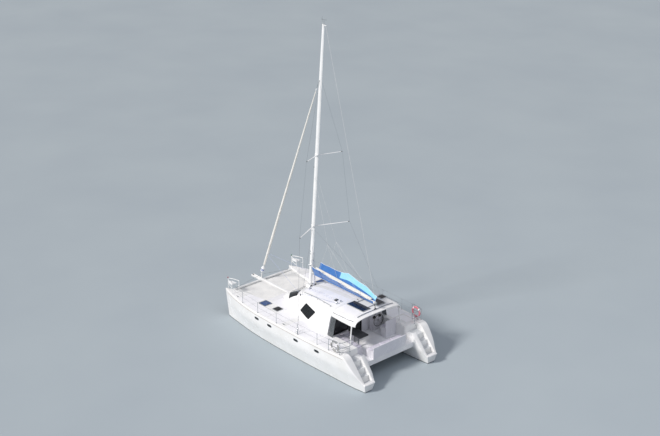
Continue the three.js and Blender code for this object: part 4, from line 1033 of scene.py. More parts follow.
def make_underwater():
    """The keels, the rudders on their stocks, and the saildrive legs with their engines."""
    keel = foil(blade_rows((1.65, 1.23), (2.3, 1.7), (0.25, 0.13), -0.52, -1.15, 0.08))
    make_pair("keel_fin", keel, BOTTOM, slot="antifouling", replaces=["{}_keel"])
    blade = foil(blade_rows((-4.96, -4.96), (0.43, 0.33), (0.07, 0.045), -0.3, -1.08))
    stock = rod((-5.05, HULL_Y, -0.5), (-5.05, HULL_Y, 0.0597), 0.022, sides=20)
    make_pair("rudder_blade", [blade, stock], BOTTOM, body="{}_rudder", slot="antifouling",
              replaces=["{}_rudder"])
    leg = foil([(-3.50, z, chord, 0.088) for z, chord in
                ((0.32, 0.26), (0.0, 0.255), (-0.4, 0.24), (-0.7, 0.235), (-0.82, 0.22))])
    skeg = foil([(-3.56, z, chord, 0.03) for z, chord in ((-0.84, 0.16), (-0.92, 0.10), (-0.955, 0.04))])
    hub = spun([(0, 0), (0.052, 0), (0.062, 0.02), (0.062, 0.16), (0.05, 0.26), (0.03, 0.33), (0, 0.358)],
               (-3.80, HULL_Y, -0.82), lean=("Y", 90))
    make_pair("drive_leg", [leg, skeg, hub], ENGINE, slot="engine_paint")
    body = [block(*corners) for corners in (
        ((-3.98, 2.16, 0.36), (-3.42, 2.52, 0.66)), ((-3.90, 2.20, 0.66), (-3.50, 2.48, 0.86)),
        ((-3.86, 2.25, 0.86), (-3.54, 2.43, 0.899)), ((-4.019, 2.20, 0.42), (-3.98, 2.48, 0.74)),
        ((-3.96, 2.1105, 0.3005), (-3.44, 2.5695, 0.37)))]
    make_pair("engine_block", body, ENGINE, slot="engine_paint", bevel=0.012, replaces=["{}_saildrive"])
    pulley = [(0, 0), (0.05, 0), (0.05, 0.01), (0.04, 0.015), (0.05, 0.02), (0.05, 0.03), (0, 0.03)]
    wheels = [spun(pulley, place, lean=("Y", 90)) for place in ((-3.42, 2.34, 0.55), (-3.42, 2.25, 0.7))]
    wheels.append(pipe([(-3.7, 2.52, 0.7), (-3.75, 2.55, 0.78), (-3.9, 2.54, 0.8), (-4.0, 2.5, 0.6)], 0.018))
    make_pair("engine_pulleys", wheels, BLACK, slot="black_rim")


def propeller_blade():
    """A blade as a grid. At radius r the chord is 0.105 sin(pi (r - 0.005) / 0.212) + 0.012, and it lies at
    the pitch angle atan(0.28 / (2 pi r)); its half thickness is half an ellipse over the chord."""
    radius = np.linspace(0.035, 0.205, 14)[:, None]
    turn = around(18)[None]
    pitch = np.arctan(0.28 / (2 * np.pi * radius))
    wide = 0.5 * (0.105 * np.sin(np.pi * (radius - 0.005) / 0.212) + 0.012) * np.cos(turn)
    thick = (0.008 - 0.028 * (radius - 0.035)) * 0.5 * np.sin(turn)
    x = wide * np.sin(pitch) + thick * np.cos(pitch)
    y = wide * np.cos(pitch) - thick * np.sin(pitch)
    return closed(np.stack([x, y, np.broadcast_to(radius, x.shape)], axis=-1))


def make_propellers():
    """Three bronze blades on a boss."""
    face = -3.8006
    parts = [spun([(0, 0), (0.012, 0.002), (0.028, 0.03), (0.044, 0.07), (0.047, 0.11), (0, 0.11)],
                  (face - 0.11, HULL_Y, -0.82), lean=("Y", 90))]
    for i in range(3):
        parts.append(shifted(turned(propeller_blade(), "X", 120 * i), (face - 0.055, HULL_Y, -0.82)))
    make_pair("propeller_wheel", parts, BRONZE, body="{}_propeller", slot="bronze",
              replaces=["{}_propeller"])


def make_lid(name, rim, rim_finish, rim_slot, pane_name, pane_finish, pane_slot):
    """A hatch lid that fills its frame piece's box: a softened frame with a rounded pane in it."""
    low, high = ends_of(name)
    length, width = high[:2] - low[:2]
    middle = ((low + high) / 2)[:2]
    outer = rounded_outline(length, width, 0.05, 7)
    inner = rounded_outline(length - 2 * rim, width - 2 * rim, 0.03, 7)
    top = high[2]
    rows = [(outer, low[2]), (outer, top - 0.006), (outer * (1 - 0.003 / length), top - 0.002),
            (outer * (1 - 0.012 / length), top), (inner * 1.01, top), (inner, top - 0.003), (inner, low[2]),
            (outer, low[2])]
    frame_shape = grid(np.array([at_z(ring + middle, z) for ring, z in rows]), joined=True)
    make(f"{name}_{'rim' if rim_slot == 'gelcoat' else 'frame'}", frame_shape, rim_finish, body=name,
         slot=rim_slot, replaces=[name])
    pane = slab(inner * 1.004 + middle, low[2] + 0.004, top - 0.005, 0.001)
    make(f"{name}_{pane_name}", pane, pane_finish, body=name, slot=pane_slot)


def make_hatches():
    """Hatch lids: an anodised frame around a tinted pane, with a handle; the engine rooms' lids are moulded,
    with a non-skid centre."""
    for side in SIDES:
        for node, finish, slot in (("fore_hatch", BLUE_PANE, "blue_acrylic"),
                                   ("cabin_hatch", TINTED, "tinted_acrylic")):
            name = f"{side}_{node}"
            make_lid(name, 0.035, ANODISED, "stainless", "pane", finish, slot)
            low, high = ends_of(name)
            x, y, z = low[0] + 0.07, (low[1] + high[1]) / 2, high[2]
            bends = [(x, y - 0.05, z - 0.006), (x, y - 0.045, z + 0.012), (x, y + 0.045, z + 0.012),
                     (x, y + 0.05, z - 0.006)]
            make(f"{name}_handle", pipe(bends, 0.006), BLACK, body=name, slot="black_rim")
        make_lid(f"{side}_engine_hatch", 0.09, WHITE, "gelcoat", "centre", NONSKID, "gelcoat")
    make_lid("helm_skylight", 0.035, ANODISED, "stainless", "pane", TINTED, "tinted_acrylic")


# What stands on the cabin's roof and the hardtop.

def make_roof_panels():
    """Non-skid panels that follow the roofs, and white bars that part the front window into panes."""
    x = spaced(-2.25, 0.75)
    port = panel(x, 0.16, columns_at(CABIN_ROWS, x)[1] - 0.34, cabin_top, across=9)
    shapes = [port, mirrored(port), panel(spaced(-3.66, -2.42), 0.76, 1.34, roof_top, across=7),
              panel(spaced(-3.95, -3.72, 0.08, 0.04), -1.25, 1.25, roof_top, corner=0.04, across=21)]
    make("roof_nonskid", shapes, NONSKID, slot="gelcoat")
    bars = []
    for y, x0, x1 in ((0.34, 1.13, 2.10), (0.73, 1.10, 2.02)):
        bar = panel(np.linspace(x0, x1, 24), y - 0.032, y + 0.032, cabin_top, corner=0.002, across=3)
        bar = shifted(bar, (0, 0, 0.003))
        bars += [bar, mirrored(bar)]
    make("front_window_bars", bars, WHITE, slot="gelcoat")


def winch(place, size=1.0, lean=("Z", 0)):
    """A two-speed winch: a flared base, a waisted knurled drum and a slotted crown."""
    profile = [(0, 0), (0.062, 0), (0.062, 0.012), (0.052, 0.022), (0.043, 0.03), (0.038, 0.06),
               (0.042, 0.088), (0.054, 0.096), (0.056, 0.104), (0.05, 0.112), (0.03, 0.116), (0.018, 0.128),
               (0.0, 0.128)]
    return spun(np.array(profile) * size, place, 32, lean)


def on_roof(points, lift, top=cabin_top):
    """Points in plan as a path that lies a little above the cabin's roof or another."""
    flat = np.asarray(points, float)
    return at_z(flat, 0) + np.outer(top(*flat.T) + lift, [0, 0, 1])


def make_roof_gear():
    """Handrails along the roof, two winches with their line clutches and organisers, and the lines that run
    aft to them from the mast's foot."""
    line = [(x, np.interp(x, [-2.0, 0.4], [1.36, 1.09])) for x in np.linspace(-2.02, 0.42, 9)]
    rails = [carried(on_roof(line, 0.06), circle(0.0135, 12))]
    for x in np.linspace(-1.95, 0.35, 5):
        foot = on_roof([(x, np.interp(x, [-2.0, 0.4], [1.36, 1.09]))], 0)[0]
        rails += [rod(foot - [0, 0, 0.01], foot + [0, 0, 0.06], 0.011),
                  spun([(0, 0), (0.026, 0), (0.022, 0.008), (0, 0.008)], foot - [0, 0, 0.002], 16)]
    make_pair("roof_handrails", rails, STEEL, slot="stainless")
    winches = [winch(on_roof([(-2.05, y)], -0.004)[0], size) for y, size in ((0.98, 1.0), (0.72, 0.85))]
    make_pair("roof_winches", winches, STEEL, slot="stainless")
    clutches, levers, lines = [], [], []
    for i, y in enumerate((0.66, 0.71, 0.76, 0.81)):
        z = float(cabin_top(-1.72, y))
        clutches.append(block((-1.80, y - 0.019, z - 0.004), (-1.64, y + 0.019, z + 0.045)))
        levers.append(rod((-1.74, y, z + 0.044), (-1.63, y, z + 0.058), 0.010, 0.008))
        bend = (0.55, 0.50 + 0.045 * i)
        bends = [(0.955, 0.10 + 0.035 * i), bend, (-0.4, 0.58 + 0.05 * i), (-1.64, y)]
        lines.append(carried(on_roof(along(bends, 40), 0.014), circle(0.0055, 8)))
        clutches.append(spun([(0, 0), (0.024, 0), (0.028, 0.01), (0.024, 0.024), (0, 0.026)],
                             on_roof([bend], -0.002)[0] - [0, 0.01, 0], 16))
    make_pair("line_clutches", clutches, BLACK, slot="black_rim", bevel=0.004)
    make_pair("clutch_levers", levers, GREY, slot="painted_spar")
    make_pair("halyard_tails", lines[::2], ROPE, slot="sailcloth")
    make_pair("reefing_tails", lines[1::2], BLUE_ROPE, slot="blue_canvas")
    bends = [(-3.95, 1.60), (-3.5, 1.64), (-2.9, 1.64), (-2.45, 1.61)]
    rails = [carried(on_roof(along(bends, 24), 0.055, roof_top), circle(0.0135, 12))]
    for foot in on_roof([(-3.9, 1.605), (-3.2, 1.645), (-2.5, 1.613)], 0, roof_top):
        rails.append(rod(foot - [0, 0, 0.015], foot + [0, 0, 0.058], 0.011))
    make_pair("hardtop_handrails", rails, STEEL, slot="stainless")


# Cockpit and saloon.
SEAT_Z = 1.48
HELM_Y = -1.30
WHEEL = np.array([-2.80, HELM_Y, 1.64])
WHEEL_R = 0.33
DOOR_TOP = 2.82
SETTEE = (-4.19, -2.43)


def window_trim(low, high, width, radius=0.04):
    """A rounded rectangular frame that stands across the boat between two corners."""
    outer, inner = (rounded_outline(*(high - low - 2 * inset)[1:], round_by)
                    for inset, round_by in ((0, radius), (width, radius * 0.6)))
    middle = ((low + high) / 2)[1:]
    rings = ((outer, low[0]), (outer, high[0]), (inner, high[0]), (inner, low[0]), (outer, low[0]))
    return grid(np.array([at_x(x, ring + middle) for ring, x in rings]), joined=True)


def make_saloon_end():
    """The bulkhead's window and doorway trims, and the sliding door with its pane and handle."""
    # The bulkhead takes the lilac grey gelcoat, which paints the shade under the hardtop.
    dress_nodes(["saloon_bulkhead"], PAINTED_SHADE_GELCOAT)
    dress_nodes(["bulkhead_window"], TINTED)
    face = BULKHEAD_X + 0.001
    low, high = ends_of("bulkhead_window")
    low, high = (np.array([face + off, *(corner[1:] + grow)])
                 for off, corner, grow in ((-0.0002, low, -0.035), (0.012, high, 0.035)))
    make("bulkhead_window_trim", window_trim(low, high, 0.05), RUBBER)
    low, high = ends_of("saloon_door")
    front = face - 0.0016
    shapes = [window_trim(low, np.array([front, high[1], DOOR_TOP]), 0.055, 0.03),
              block(low + [0.003, 0.05, DOOR_TOP - 0.004 - low[2]], (front, high[1] - 0.05, high[2]))]
    make("saloon_door_frame", shapes, BLACK_FRAME, body="saloon_door", slot="tinted_acrylic",
         replaces=["saloon_door"])
    make("saloon_door_pane", block(low + [0.012, 0.05, 0.05],
                                   (low[0] + 0.024, high[1] - 0.05, DOOR_TOP - 0.05)),
         TINTED, body="saloon_door", slot="tinted_acrylic")
    x, y = low[0], low[1] + 0.027
    grip = pipe([(x + 0.002, y, 1.80), (x - 0.03, y, 1.82), (x - 0.03, y, 2.08), (x + 0.002, y, 2.10)],
                0.008)
    make("saloon_door_handle", grip, BLACK, body="saloon_door", slot="black_rim")
    track = block((x - 0.004, low[1] - 0.02, high[2] + 0.004), (face - 0.001, 1.42, high[2] + 0.024))
    make("saloon_door_track", track, ANODISED, slot="painted_spar", bevel=0.003)


def stuffed(shape, cap=0.012, voxel=0.016, steps=20):
    """A stuffed pad: the shape remeshed in even small faces, blown up by cloth simulation without gravity,
    each point held within cap of where it began, then rounded once by subdivision."""
    piece = bare("pad", shape)
    piece.modifiers.new("even", "REMESH").voxel_size = voxel
    settle(piece)
    start = points_of(piece)
    cloth = piece.modifiers.new("stuffing", "CLOTH").settings
    cloth.use_pressure = True
    cloth.uniform_pressure_force = 4.0
    cloth.effector_weights.gravity = 0.0
    for step in range(1, steps + 1):
        bpy.context.scene.frame_set(step)
    settle(piece)
    bpy.context.scene.frame_set(1)
    moved = points_of(piece) - start
    far = np.linalg.norm(moved, axis=1, keepdims=True)
    moved = moved * np.minimum(1, cap / np.maximum(far, 1e-9))
    piece.data.vertices.foreach_set("co", (start + moved).ravel())
    rounded = piece.modifiers.new("rounded", "SUBSURF")
    rounded.levels = rounded.render_levels = 1
    settle(piece)
    return piece


def pillow(low, high, crown=0.012, pull=0.008):
    """A seat pad: a box with quarter-round edges whose top swells by crown (1 - u^4)(1 - v^4) over its
    middle, and whose sides pull in by pull (1 - u^2) between the corners."""
    middle, half = (low + high) / 2, (high - low) / 2
    outline = rounded_outline(*2 * half[:2], 0.04)
    outline = along(np.vstack([outline, outline[:1]]), 84)[:-1]
    waist = 1 - pull * (1 - np.abs(outline / half[:2]).min(1, keepdims=True) ** 2) / half[:2].min()
    edge = min(0.02, half[2] * 0.8)
    soft = 1 - edge * 0.4 / half[0]
    rows = [(0.55, low[2]), (0.9, low[2]), (soft, low[2] + edge * 0.2), (1, low[2] + edge),
            (1, high[2] - edge), (soft, high[2] - edge * 0.2)]
    rows += [(part, high[2]) for part in (0.93, 0.85, 0.7, 0.5, 0.3, 0.12)]
    rings = []
    for share, z in rows:
        flat = outline * share * waist
        rise = crown * np.prod(1 - (flat / half[:2]) ** 4, axis=1) if z >= high[2] - edge else 0 * flat[:, 0]
        rings.append(np.c_[flat + middle[:2], z + rise])
    return closed(rings)


def make_cushion(name, low, high, **choices):
    """One stuffed pad with the dimples of two sewn buttons, and a piped seam round its outline."""
    low, high = np.asarray(low, float), np.asarray(high, float)
    piece = stuffed(pillow(low + 0.004, high - 0.004))
    points = points_of(piece)
    points[:, :2] = np.clip(points[:, :2], low[:2] - 0.002, high[:2] + 0.002)
    points[:, 2] = np.maximum(points[:, 2], low[2])
    middle, size = (low + high) / 2, (high - low)[:2]
    for offset in (-0.25, 0.25):
        spot = middle[:2] + offset * size * [size[0] >= size[1], size[0] < size[1]]
        away = np.linalg.norm(points[:, :2] - spot, axis=1)
        points[:, 2] -= np.where(points[:, 2] > middle[2], 0.012 * np.exp(-(away / 0.035) ** 2), 0)
    piece.data.vertices.foreach_set("co", points.ravel())
    piece.name = piece.data.name = name
    dress(piece, VINYL, slot="upholstery", sharp=180, **choices)
    ring = at_z(rounded_outline(*(size - 0.002), 0.04, 6) + middle[:2], high[2] - 0.012)
    make(f"{name}_piping", carried(ring, circle(0.005, 8), loop=True), PIPING,
         body=choices.get("body", "boat"), slot="upholstery")


def make_cushions():
    """The seats' pads. Those of the aft bench stop short of its lid's hinge, so that the lid opens."""
    low, high = ends_of("aft_bench_lid")
    width = (high[1] - low[1]) / 3
    for i in range(3):
        part = low[1] + i * width
        make_cushion(f"bench_cushion_{i + 1}", (low[0] + 0.068, part + 0.004, low[2] + 0.012),
                     (high[0] - 0.004, part + width - 0.004, high[2] + 0.002), body="aft_bench_lid")
    board = tile(*(high - low)[:2], 0.02, ((low + high) / 2)[:2], low[2], low[2] + 0.012)
    # The lid's board is the lilac grey gelcoat, which paints the shade under the hardtop.
    make("bench_lid_board", board, PAINTED_SHADE_GELCOAT, body="aft_bench_lid", slot="upholstery",
         replaces=["aft_bench_lid"])
    places = np.linspace(*SETTEE, 4)
    pads = [((start + 0.003, 1.162), (end - 0.003, 1.692)) for start, end in zip(places[:-1], places[1:])]
    pads.append(((-2.888, 0.572), (-2.433, 1.156)))
    for i, (start, end) in enumerate(pads):
        make_cushion(f"settee_cushion_{i + 1}", (*start, SEAT_Z + 0.0004), (*end, SEAT_Z + 0.07),
                     replaces=["cockpit_cushion"] if i == 0 else [])
    make_cushion("helm_seat_cushion", (-3.65, HELM_Y - 0.37, 1.6204), (-3.33, HELM_Y + 0.33, 1.68))


def make_cockpit():
    """Moulded seats and lockers, the table on its column, and the non-skid sole."""
    # The seats, lockers, helm seat and console take the lilac grey gelcoat, which paints the shade under the
    # hardtop.
    dress_nodes(["aft_bench", "cockpit_settee", "helm_seat", "helm_console"], PAINTED_SHADE_GELCOAT)
    # The bridgedeck takes a greyer white, which paints the shade under it.
    dress_nodes(["bridgedeck"], PAINTED_SHADE_BRIDGEDECK)
    dress_nodes(["port_side_screen", "starboard_side_screen"], SCREEN)
    dress_nodes(["saloon_dinette", "galley_counter"], OAK)
    sole = [tile(length, width, radius, at, SOLE_Z - 0.001, SOLE_Z + 0.003) for length, width, radius, at in
            ((1.98, 1.98, 0.06, (-3.44, 0.12)), (0.50, 0.60, 0.05, (-3.02, HELM_Y)))]
    make("cockpit_sole_nonskid", sole, NONSKID, slot="gelcoat")
    low, high = ends_of("cockpit_table")
    # The table top is charcoal, painted shade for the shade under the hardtop.
    top = tile(*(high - low)[:2], 0.09, ((low + high) / 2)[:2], 1.782, high[2], 0.008, 8)
    make("cockpit_table_top", top, PAINTED_SHADE_TABLE_TOP, slot="black_rim", replaces=["cockpit_table"])
    column = [(0, SOLE_Z + 0.0004), (0.11, SOLE_Z + 0.0004), (0.11, SOLE_Z + 0.012), (0.06, SOLE_Z + 0.03),
              (0.045, SOLE_Z + 0.08), (0.04, 1.5), (0.045, 1.74), (0.09, 1.765), (0.09, 1.783), (0, 1.783)]
    make("cockpit_table_column", spun(column, (-3.47, 0.76, 0), 32), ANODISED, slot="gelcoat")


def make_helm():
    """The wheel with its stitched rim, hub and five spokes; the compass, two blank displays in their cases
    and the two engine levers on the console."""
    angle = around(96)
    rim = WHEEL + WHEEL_R * at_x(0, np.stack([np.sin(angle), np.cos(angle)], axis=1))
    grip = 1 + 0.06 * np.abs(np.sin(10 * angle)) ** 8
    make("wheel_rim", carried(rim, circle(0.014, 14), grip, loop=True), LEATHER, body="steering_wheel",
         slot="black_rim", replaces=["steering_wheel"])
    hub = [(0, 0), (0.018, 0), (0.018, 0.05), (0.048, 0.055), (0.048, 0.10), (0.03, 0.112), (0, 0.115)]
    parts = [spun(hub, WHEEL + [0.0794, 0, 0], 32, ("Y", -90))]
    for turn in around(5):
        out = np.array([0, math.sin(turn), math.cos(turn)])
        parts.append(rod(WHEEL, WHEEL + WHEEL_R * out, 0.012, 0.007, 12))
    make("wheel_spokes", parts, STEEL, body="steering_wheel", slot="stainless")
    pods = [spun([(0, 0), (0.07, 0), (0.072, 0.02), (0.06, 0.05), (0.035, 0.068), (0, 0.074)],
                 (-2.53, HELM_Y, 1.899), 28)]
    slope = math.degrees(math.atan2(0.165, 0.113))
    screens = []
    for y in (-0.19, 0.19):
        for some, case in ((pods, (0.15, 0.20, 0.015, (0, 0), -0.004, 0.014, 0.004)),
                           (screens, (0.12, 0.17, 0.008, (0, 0), 0.0135, 0.0155))):
            some.append(shifted(turned(tile(*case), "Y", -slope), (-2.6645, HELM_Y + y, 1.8165)))
    make("helm_instruments", pods, BLACK, slot="black_rim")
    make("helm_displays", screens, TINTED, slot="tinted_acrylic")
    levers = [block((-2.56, HELM_Y - 0.300, 1.899), (-2.46, HELM_Y - 0.20, 1.925))]
    knob = [(0, 0), (0.012, 0.004), (0.015, 0.016), (0.01, 0.03), (0, 0.032)]
    for y in (HELM_Y - 0.27, HELM_Y - 0.23):
        levers += [rod((-2.51, y, 1.92), (-2.53, y, 2.02), 0.006), spun(knob, (-2.53, y, 2.01), 16)]
    make("engine_levers", levers, STEEL, slot="stainless", bevel=0.003)


# Rails, nets, lifebuoys and the front beams.
RAIL_H = 0.64
LOW_RAIL = 0.52 * RAIL_H
TUBE_R = 0.014
PULPIT_R = 0.016
STANCHION_X = [3.5, 2.0, 0.4, -1.3, -2.8]
PULPIT_X = 4.85
PUSHPIT = [(-3.64, 2.975), (-4.00, 2.95), (-4.38, 2.90), (-4.47, 2.70), (-4.48, 2.30), (-4.47, 2.12)]
NET_X = (2.9004, 5.12)
NET_TOP = 1.600
NET_PITCH = 0.05
NET_STRAP = (0.034, 0.003)
NET_HEM = (0.06, 0.004)
MID_HALF = 0.085
BEAM_Z = 1.50
BEAM_R = 0.085
STRIKER_Z = 1.90
ROLLER_TIP = 6.33
BUOY = np.array([-4.01, 2.89, DECK_Z + LOW_RAIL])
BUOY_R = 0.255
BUOY_TUBE = 0.052


def foot_on_deck(x, inset):
    return np.array([x, *(deck_out(x) - inset), deck_height(x)])


def post(foot, height, radius):
    """An upright tube on a flanged foot with a collar."""
    base = [(0, 0), (0.036, 0), (0.036, 0.005), (0.02, 0.012), (0.018, 0.05), (0.0, 0.05)]
    return [rod(foot, foot + [0, 0, height], radius, sides=14), spun(base, foot, 20)]


def make_pulpits():
    """The bow pulpits: a painted rail bent round the bow on three posts with a middle rail, a seat board,
    and a lamp."""
    outer, inner = foot_on_deck(PULPIT_X, 0.075), foot_on_deck(PULPIT_X, 0)
    inner[1] = deck_in(PULPIT_X)[0] + 0.075
    up = np.array([0, 0, RAIL_H])
    tip = np.array([5.54, HULL_Y, 2.288])
    bends = [outer + up, (5.20, 2.50, 2.30), (5.48, 2.37, 2.29), tip, (5.48, 2.235, 2.29),
             (5.20, 2.13, 2.30), inner + up]
    tubes = [smooth_tube(bends, PULPIT_R, 60)]
    tubes.append(rod((5.56, HULL_Y, 1.62), (5.53, HULL_Y, 2.288), PULPIT_R, sides=14))
    for foot, off in ((outer, 0.012), (inner, -0.012)):
        tubes += post(foot, RAIL_H, PULPIT_R)
        tubes.append(rod(foot + up * 0.53, (5.545, HULL_Y + off, 1.98), 0.013, sides=12))
    make_pair("bow_pulpit_rail", tubes, SPAR, slot="painted_spar", replaces=["{}_bow_pulpit"])
    outline = [(4.96, 2.16), (4.99, 2.14), (5.33, 2.17), (5.44, 2.235), (5.465, 2.27), (5.465, 2.33),
               (5.44, 2.365), (5.33, 2.43), (4.99, 2.52), (4.96, 2.50)]
    seat = [slab(np.array(outline), 2.142, 2.168, 0.005)]
    seat += [block((4.99, y - 0.015, 2.128), (5.42, y + 0.015, 2.1424)) for y in (2.23, 2.37)]
    make_pair("pulpit_seat", seat, BOARD, slot="gelcoat")
    case = [(0, 0), (0.028, 0), (0.030, 0.02), (0.024, 0.026), (0, 0.026)]
    make_pair("bow_lamp_case", spun(case, tip + [0.02, 0, 0.012], 20), BLACK, slot="black_rim")
    lens = [(0, 0), (0.024, 0), (0.026, 0.02), (0.024, 0.04), (0.012, 0.046), (0, 0.046)]
    make_pair("bow_lamp_lens", spun(lens, tip + [0.02, 0, 0.038], 20),
              {"port": RED_LENS, "starboard": GREEN_LENS}, slot="tinted_acrylic")


def make_lifelines():
    """Stanchions with flanged feet and two wires through them, turnbuckles at the after ends, and the stern
    rail on three posts."""
    feet = [foot_on_deck(x, 0.07) for x in STANCHION_X]
    cap = [(0, 0), (0.0135, 0), (0.0135, 0.012), (0.006, 0.02), (0, 0.021)]
    tubes = []
    for foot in feet:
        tubes += post(foot, RAIL_H - 0.02, 0.012) + [spun(cap, foot + [0, 0, RAIL_H - 0.024], 14)]
    end = np.array([*PUSHPIT[0], DECK_Z])
    line = np.array([foot_on_deck(PULPIT_X, 0.073) - [0.012, 0, 0], *feet, end])
    wires = []
    for height in (RAIL_H - 0.03, 0.5 * RAIL_H):
        held = line + [0, 0, height]
        wires += [rod(a, b, 0.004, sides=8) for a, b in zip(held[:-1], held[1:])]
        way = (held[-2] - held[-1]) * 0.25
        wires.append(rod(held[-1] + way * 0.02, held[-1] + way * 0.7, 0.0085, 0.0065))
    for height in (RAIL_H, LOW_RAIL):
        tubes.append(smooth_tube([(x, y, DECK_Z + height) for x, y in PUSHPIT], TUBE_R, 60))
    for x, y in ((-3.64, 2.975), (-4.38, 2.89), (-4.476, 2.30)):
        tubes += post(np.array([x, y, DECK_Z]), RAIL_H, TUBE_R)
    tubes.append(rod((*PUSHPIT[-1], DECK_Z + LOW_RAIL), (*PUSHPIT[-1], DECK_Z + RAIL_H), TUBE_R, sides=14))
    make_pair("stanchions_and_stern_rail", tubes, STEEL, slot="stainless", replaces=["{}_lifelines"])
    make_pair("guard_wires", wires, STEEL, slot="stainless")


def net_edge(x):
    """Where a net meets the inner side of its hull."""
    return deck_in(x) - 0.004


def net_height(x, y):
    """The net sags 25 mm in its middle: a product of two parabolas, zero at its edges."""
    u = (x - NET_X[0]) / (NET_X[1] - NET_X[0])
    v = (y - MID_HALF) / (net_edge(x) - MID_HALF)
    return NET_TOP - 0.006 - 0.025 * 16 * u * (1 - u) * np.clip(v * (1 - v), 0, 1)


def net_strap(x, y, lift, size=NET_STRAP):
    """A flat strap of a width and a thickness over the net, through some places in plan."""
    x, y = np.broadcast_arrays(x, y)
    half, up = size[0] / 2, size[1] / 2
    section = np.array([[half, -up], [half, up], [-half, up], [-half, -up]])
    return carried(np.stack([x, y, net_height(x, y) + lift], axis=1), section)


def make_nets():
    """The foredeck nets as woven webbing: straps along and across that pass over and under one another, a
    wide hem, and a lashing to the crossbeam through every eyelet."""
    shapes = []
    across = np.arange(NET_X[0] + 0.05, NET_X[1] - 0.03, NET_PITCH)
    lengthwise = np.arange(MID_HALF + 0.05, net_edge(NET_X[0])[0] - 0.03, NET_PITCH)
    reach = np.linspace(*NET_X, 60)
    for i, y in enumerate(lengthwise):
        inside = reach[net_edge(reach) >= y + 0.02]
        if len(inside) >= 3:
            x = np.linspace(inside[0], inside[-1], max(6, int(len(inside) * 0.75)))
            shapes.append(net_strap(x, y, 0.0025 * np.cos(np.pi * (x - across[0]) / NET_PITCH + np.pi * i)))
    for i, x in enumerate(across):
        y = np.linspace(MID_HALF + 0.002, net_edge(x)[0], 46)
        shapes.append(net_strap(x, y, -0.0025 * np.cos(np.pi * (y - lengthwise[0]) / NET_PITCH + np.pi * i)))
    x = np.linspace(NET_X[0] + 0.03, NET_X[1] - 0.03, 40)
    shapes += [net_strap(x, y, 0.004, NET_HEM) for y in (MID_HALF + 0.03, net_edge(x) - 0.03)]
    shapes += [net_strap(end, np.linspace(MID_HALF, net_edge(end)[0], 24), 0.004, NET_HEM)
               for end in x[[0, -1]]]
    make_pair("trampoline_net", shapes, NET, slot="net_mesh", sharp=60, replaces=["{}_foredeck_net"])
    lashing = []
    for y in np.arange(0.16, net_edge(NET_X[1])[0] - 0.04, 0.115):
        lashing.append([NET_X[1] - 0.04, y, NET_TOP + 0.004])
        lashing += [[BEAM_X - BEAM_R + 0.01, y + step, BEAM_Z + 0.045] for step in (0.02, 0.095)]
    make_pair("net_lashing", carried(lashing, circle(0.005, 6)), ROPE, slot="net_mesh")


def make_front_beams():
    """The crossbeam with its striker post and stays, the middle beam, and the bow roller in its cheeks."""
    head = STRIKER_Z - 0.0004
    striker = [(0, BEAM_Z), (0.045, BEAM_Z), (0.04, BEAM_Z + 0.2), (0.032, STRIKER_Z - 0.02),
               (0.05, STRIKER_Z - 0.016), (0.05, head), (0, head)]
    beam = [rod((BEAM_X, -2.29, BEAM_Z), (BEAM_X, 2.29, BEAM_Z), BEAM_R, sides=40),
            spun(striker, (BEAM_X, 0, 0))]
    make("crossbeam", beam, SPAR, slot="painted_spar", replaces=["front_crossbeam"])
    tip = ROLLER_TIP
    cheek = np.array([(BEAM_X + 0.01, 1.472), (tip - 0.05, 1.472), (tip - 0.012, 1.50), (tip, 1.55),
                      (tip - 0.012, 1.585), (tip - 0.05, 1.598), (BEAM_X + 0.01, 1.598)])
    middle = [block((2.9003, -MID_HALF, 1.49), (BEAM_X, MID_HALF, 1.62)),
              block((BEAM_X, -0.06, 1.47), (tip - 0.06, 0.06, 1.50))]
    middle += [prism(cheek, y, y + 0.012, upright=False) for y in (-0.0725, 0.0605)]
    make("middle_beam", middle, SPAR, slot="painted_spar", bevel=0.004)
    roller = [(0, -0.047), (0.038, -0.047), (0.026, -0.012), (0.024, 0), (0.026, 0.012), (0.038, 0.047),
              (0, 0.047)]
    make("bow_roller", spun(roller, (tip - 0.04, 0, 1.55), lean=("X", 90)), BLACK, slot="black_rim")
    stays, ends = [], []
    top = np.array([BEAM_X, 0, STRIKER_Z - 0.03])
    for sign in SIDES.values():
        outer = np.array([BEAM_X, sign * 1.90, BEAM_Z + 0.08])
        way = top - outer
        stays.append(rod(outer, top, 0.008, sides=12))
        stays.append(rod(outer + way * 0.02, outer + way * 0.14, 0.014, 0.012, 12))
        ends.append(block(outer - 0.03, outer + [0.03, 0.03, 0.012]))
    make("striker_stays", stays, STEEL, slot="stainless")
    make("striker_plates", ends, STEEL, slot="stainless", bevel=0.004)


def make_lifebuoys():
    """A ring lifebuoy on each stern rail: a fat ring a little flattened, four reflective bands around its
    tube, and a grab line that hangs in four shallow loops outside it."""
    def arc(radius, angle, section, loop):
        path = np.stack([radius * np.cos(angle), 0 * angle, radius * np.sin(angle)], axis=1)
        return carried(BUOY + path, section, loop=loop, up=(0, 1, 0))

    angle = around(72)
    slots = {"port": "grey_buoy", "starboard": "red_buoy"}
    make_pair("lifebuoy_ring", arc(BUOY_R, angle, circle(BUOY_TUBE, 20, 0.75), True),
              {"port": BUOY_GREY, "starboard": BUOY_RED}, slot=slots, replaces=["{}_lifebuoy"])
    bands = [arc(BUOY_R, start + np.linspace(-0.13, 0.13, 7), circle(BUOY_TUBE + 0.002, 20, 0.75), False)
             for start in np.pi / 4 + around(4)]
    make_pair("lifebuoy_bands", bands, TAPE, slot=slots)
    wide = BUOY_R + BUOY_TUBE - 0.004 + 0.022 * np.abs(np.cos(2 * angle)) ** 0.7
    make_pair("lifebuoy_line", arc(wide, angle, circle(0.005, 8), True), ROPE, slot=slots)
    hooks = [pipe(BUOY + [(x, 0.07, 0.19), (x, 0.045, 0.30), (x, -0.01, 0.315), (x, -0.045, 0.27)], 0.006)
             for x in (-0.12, 0.12)]
    make_pair("lifebuoy_hooks", hooks, STEEL, slot="stainless")


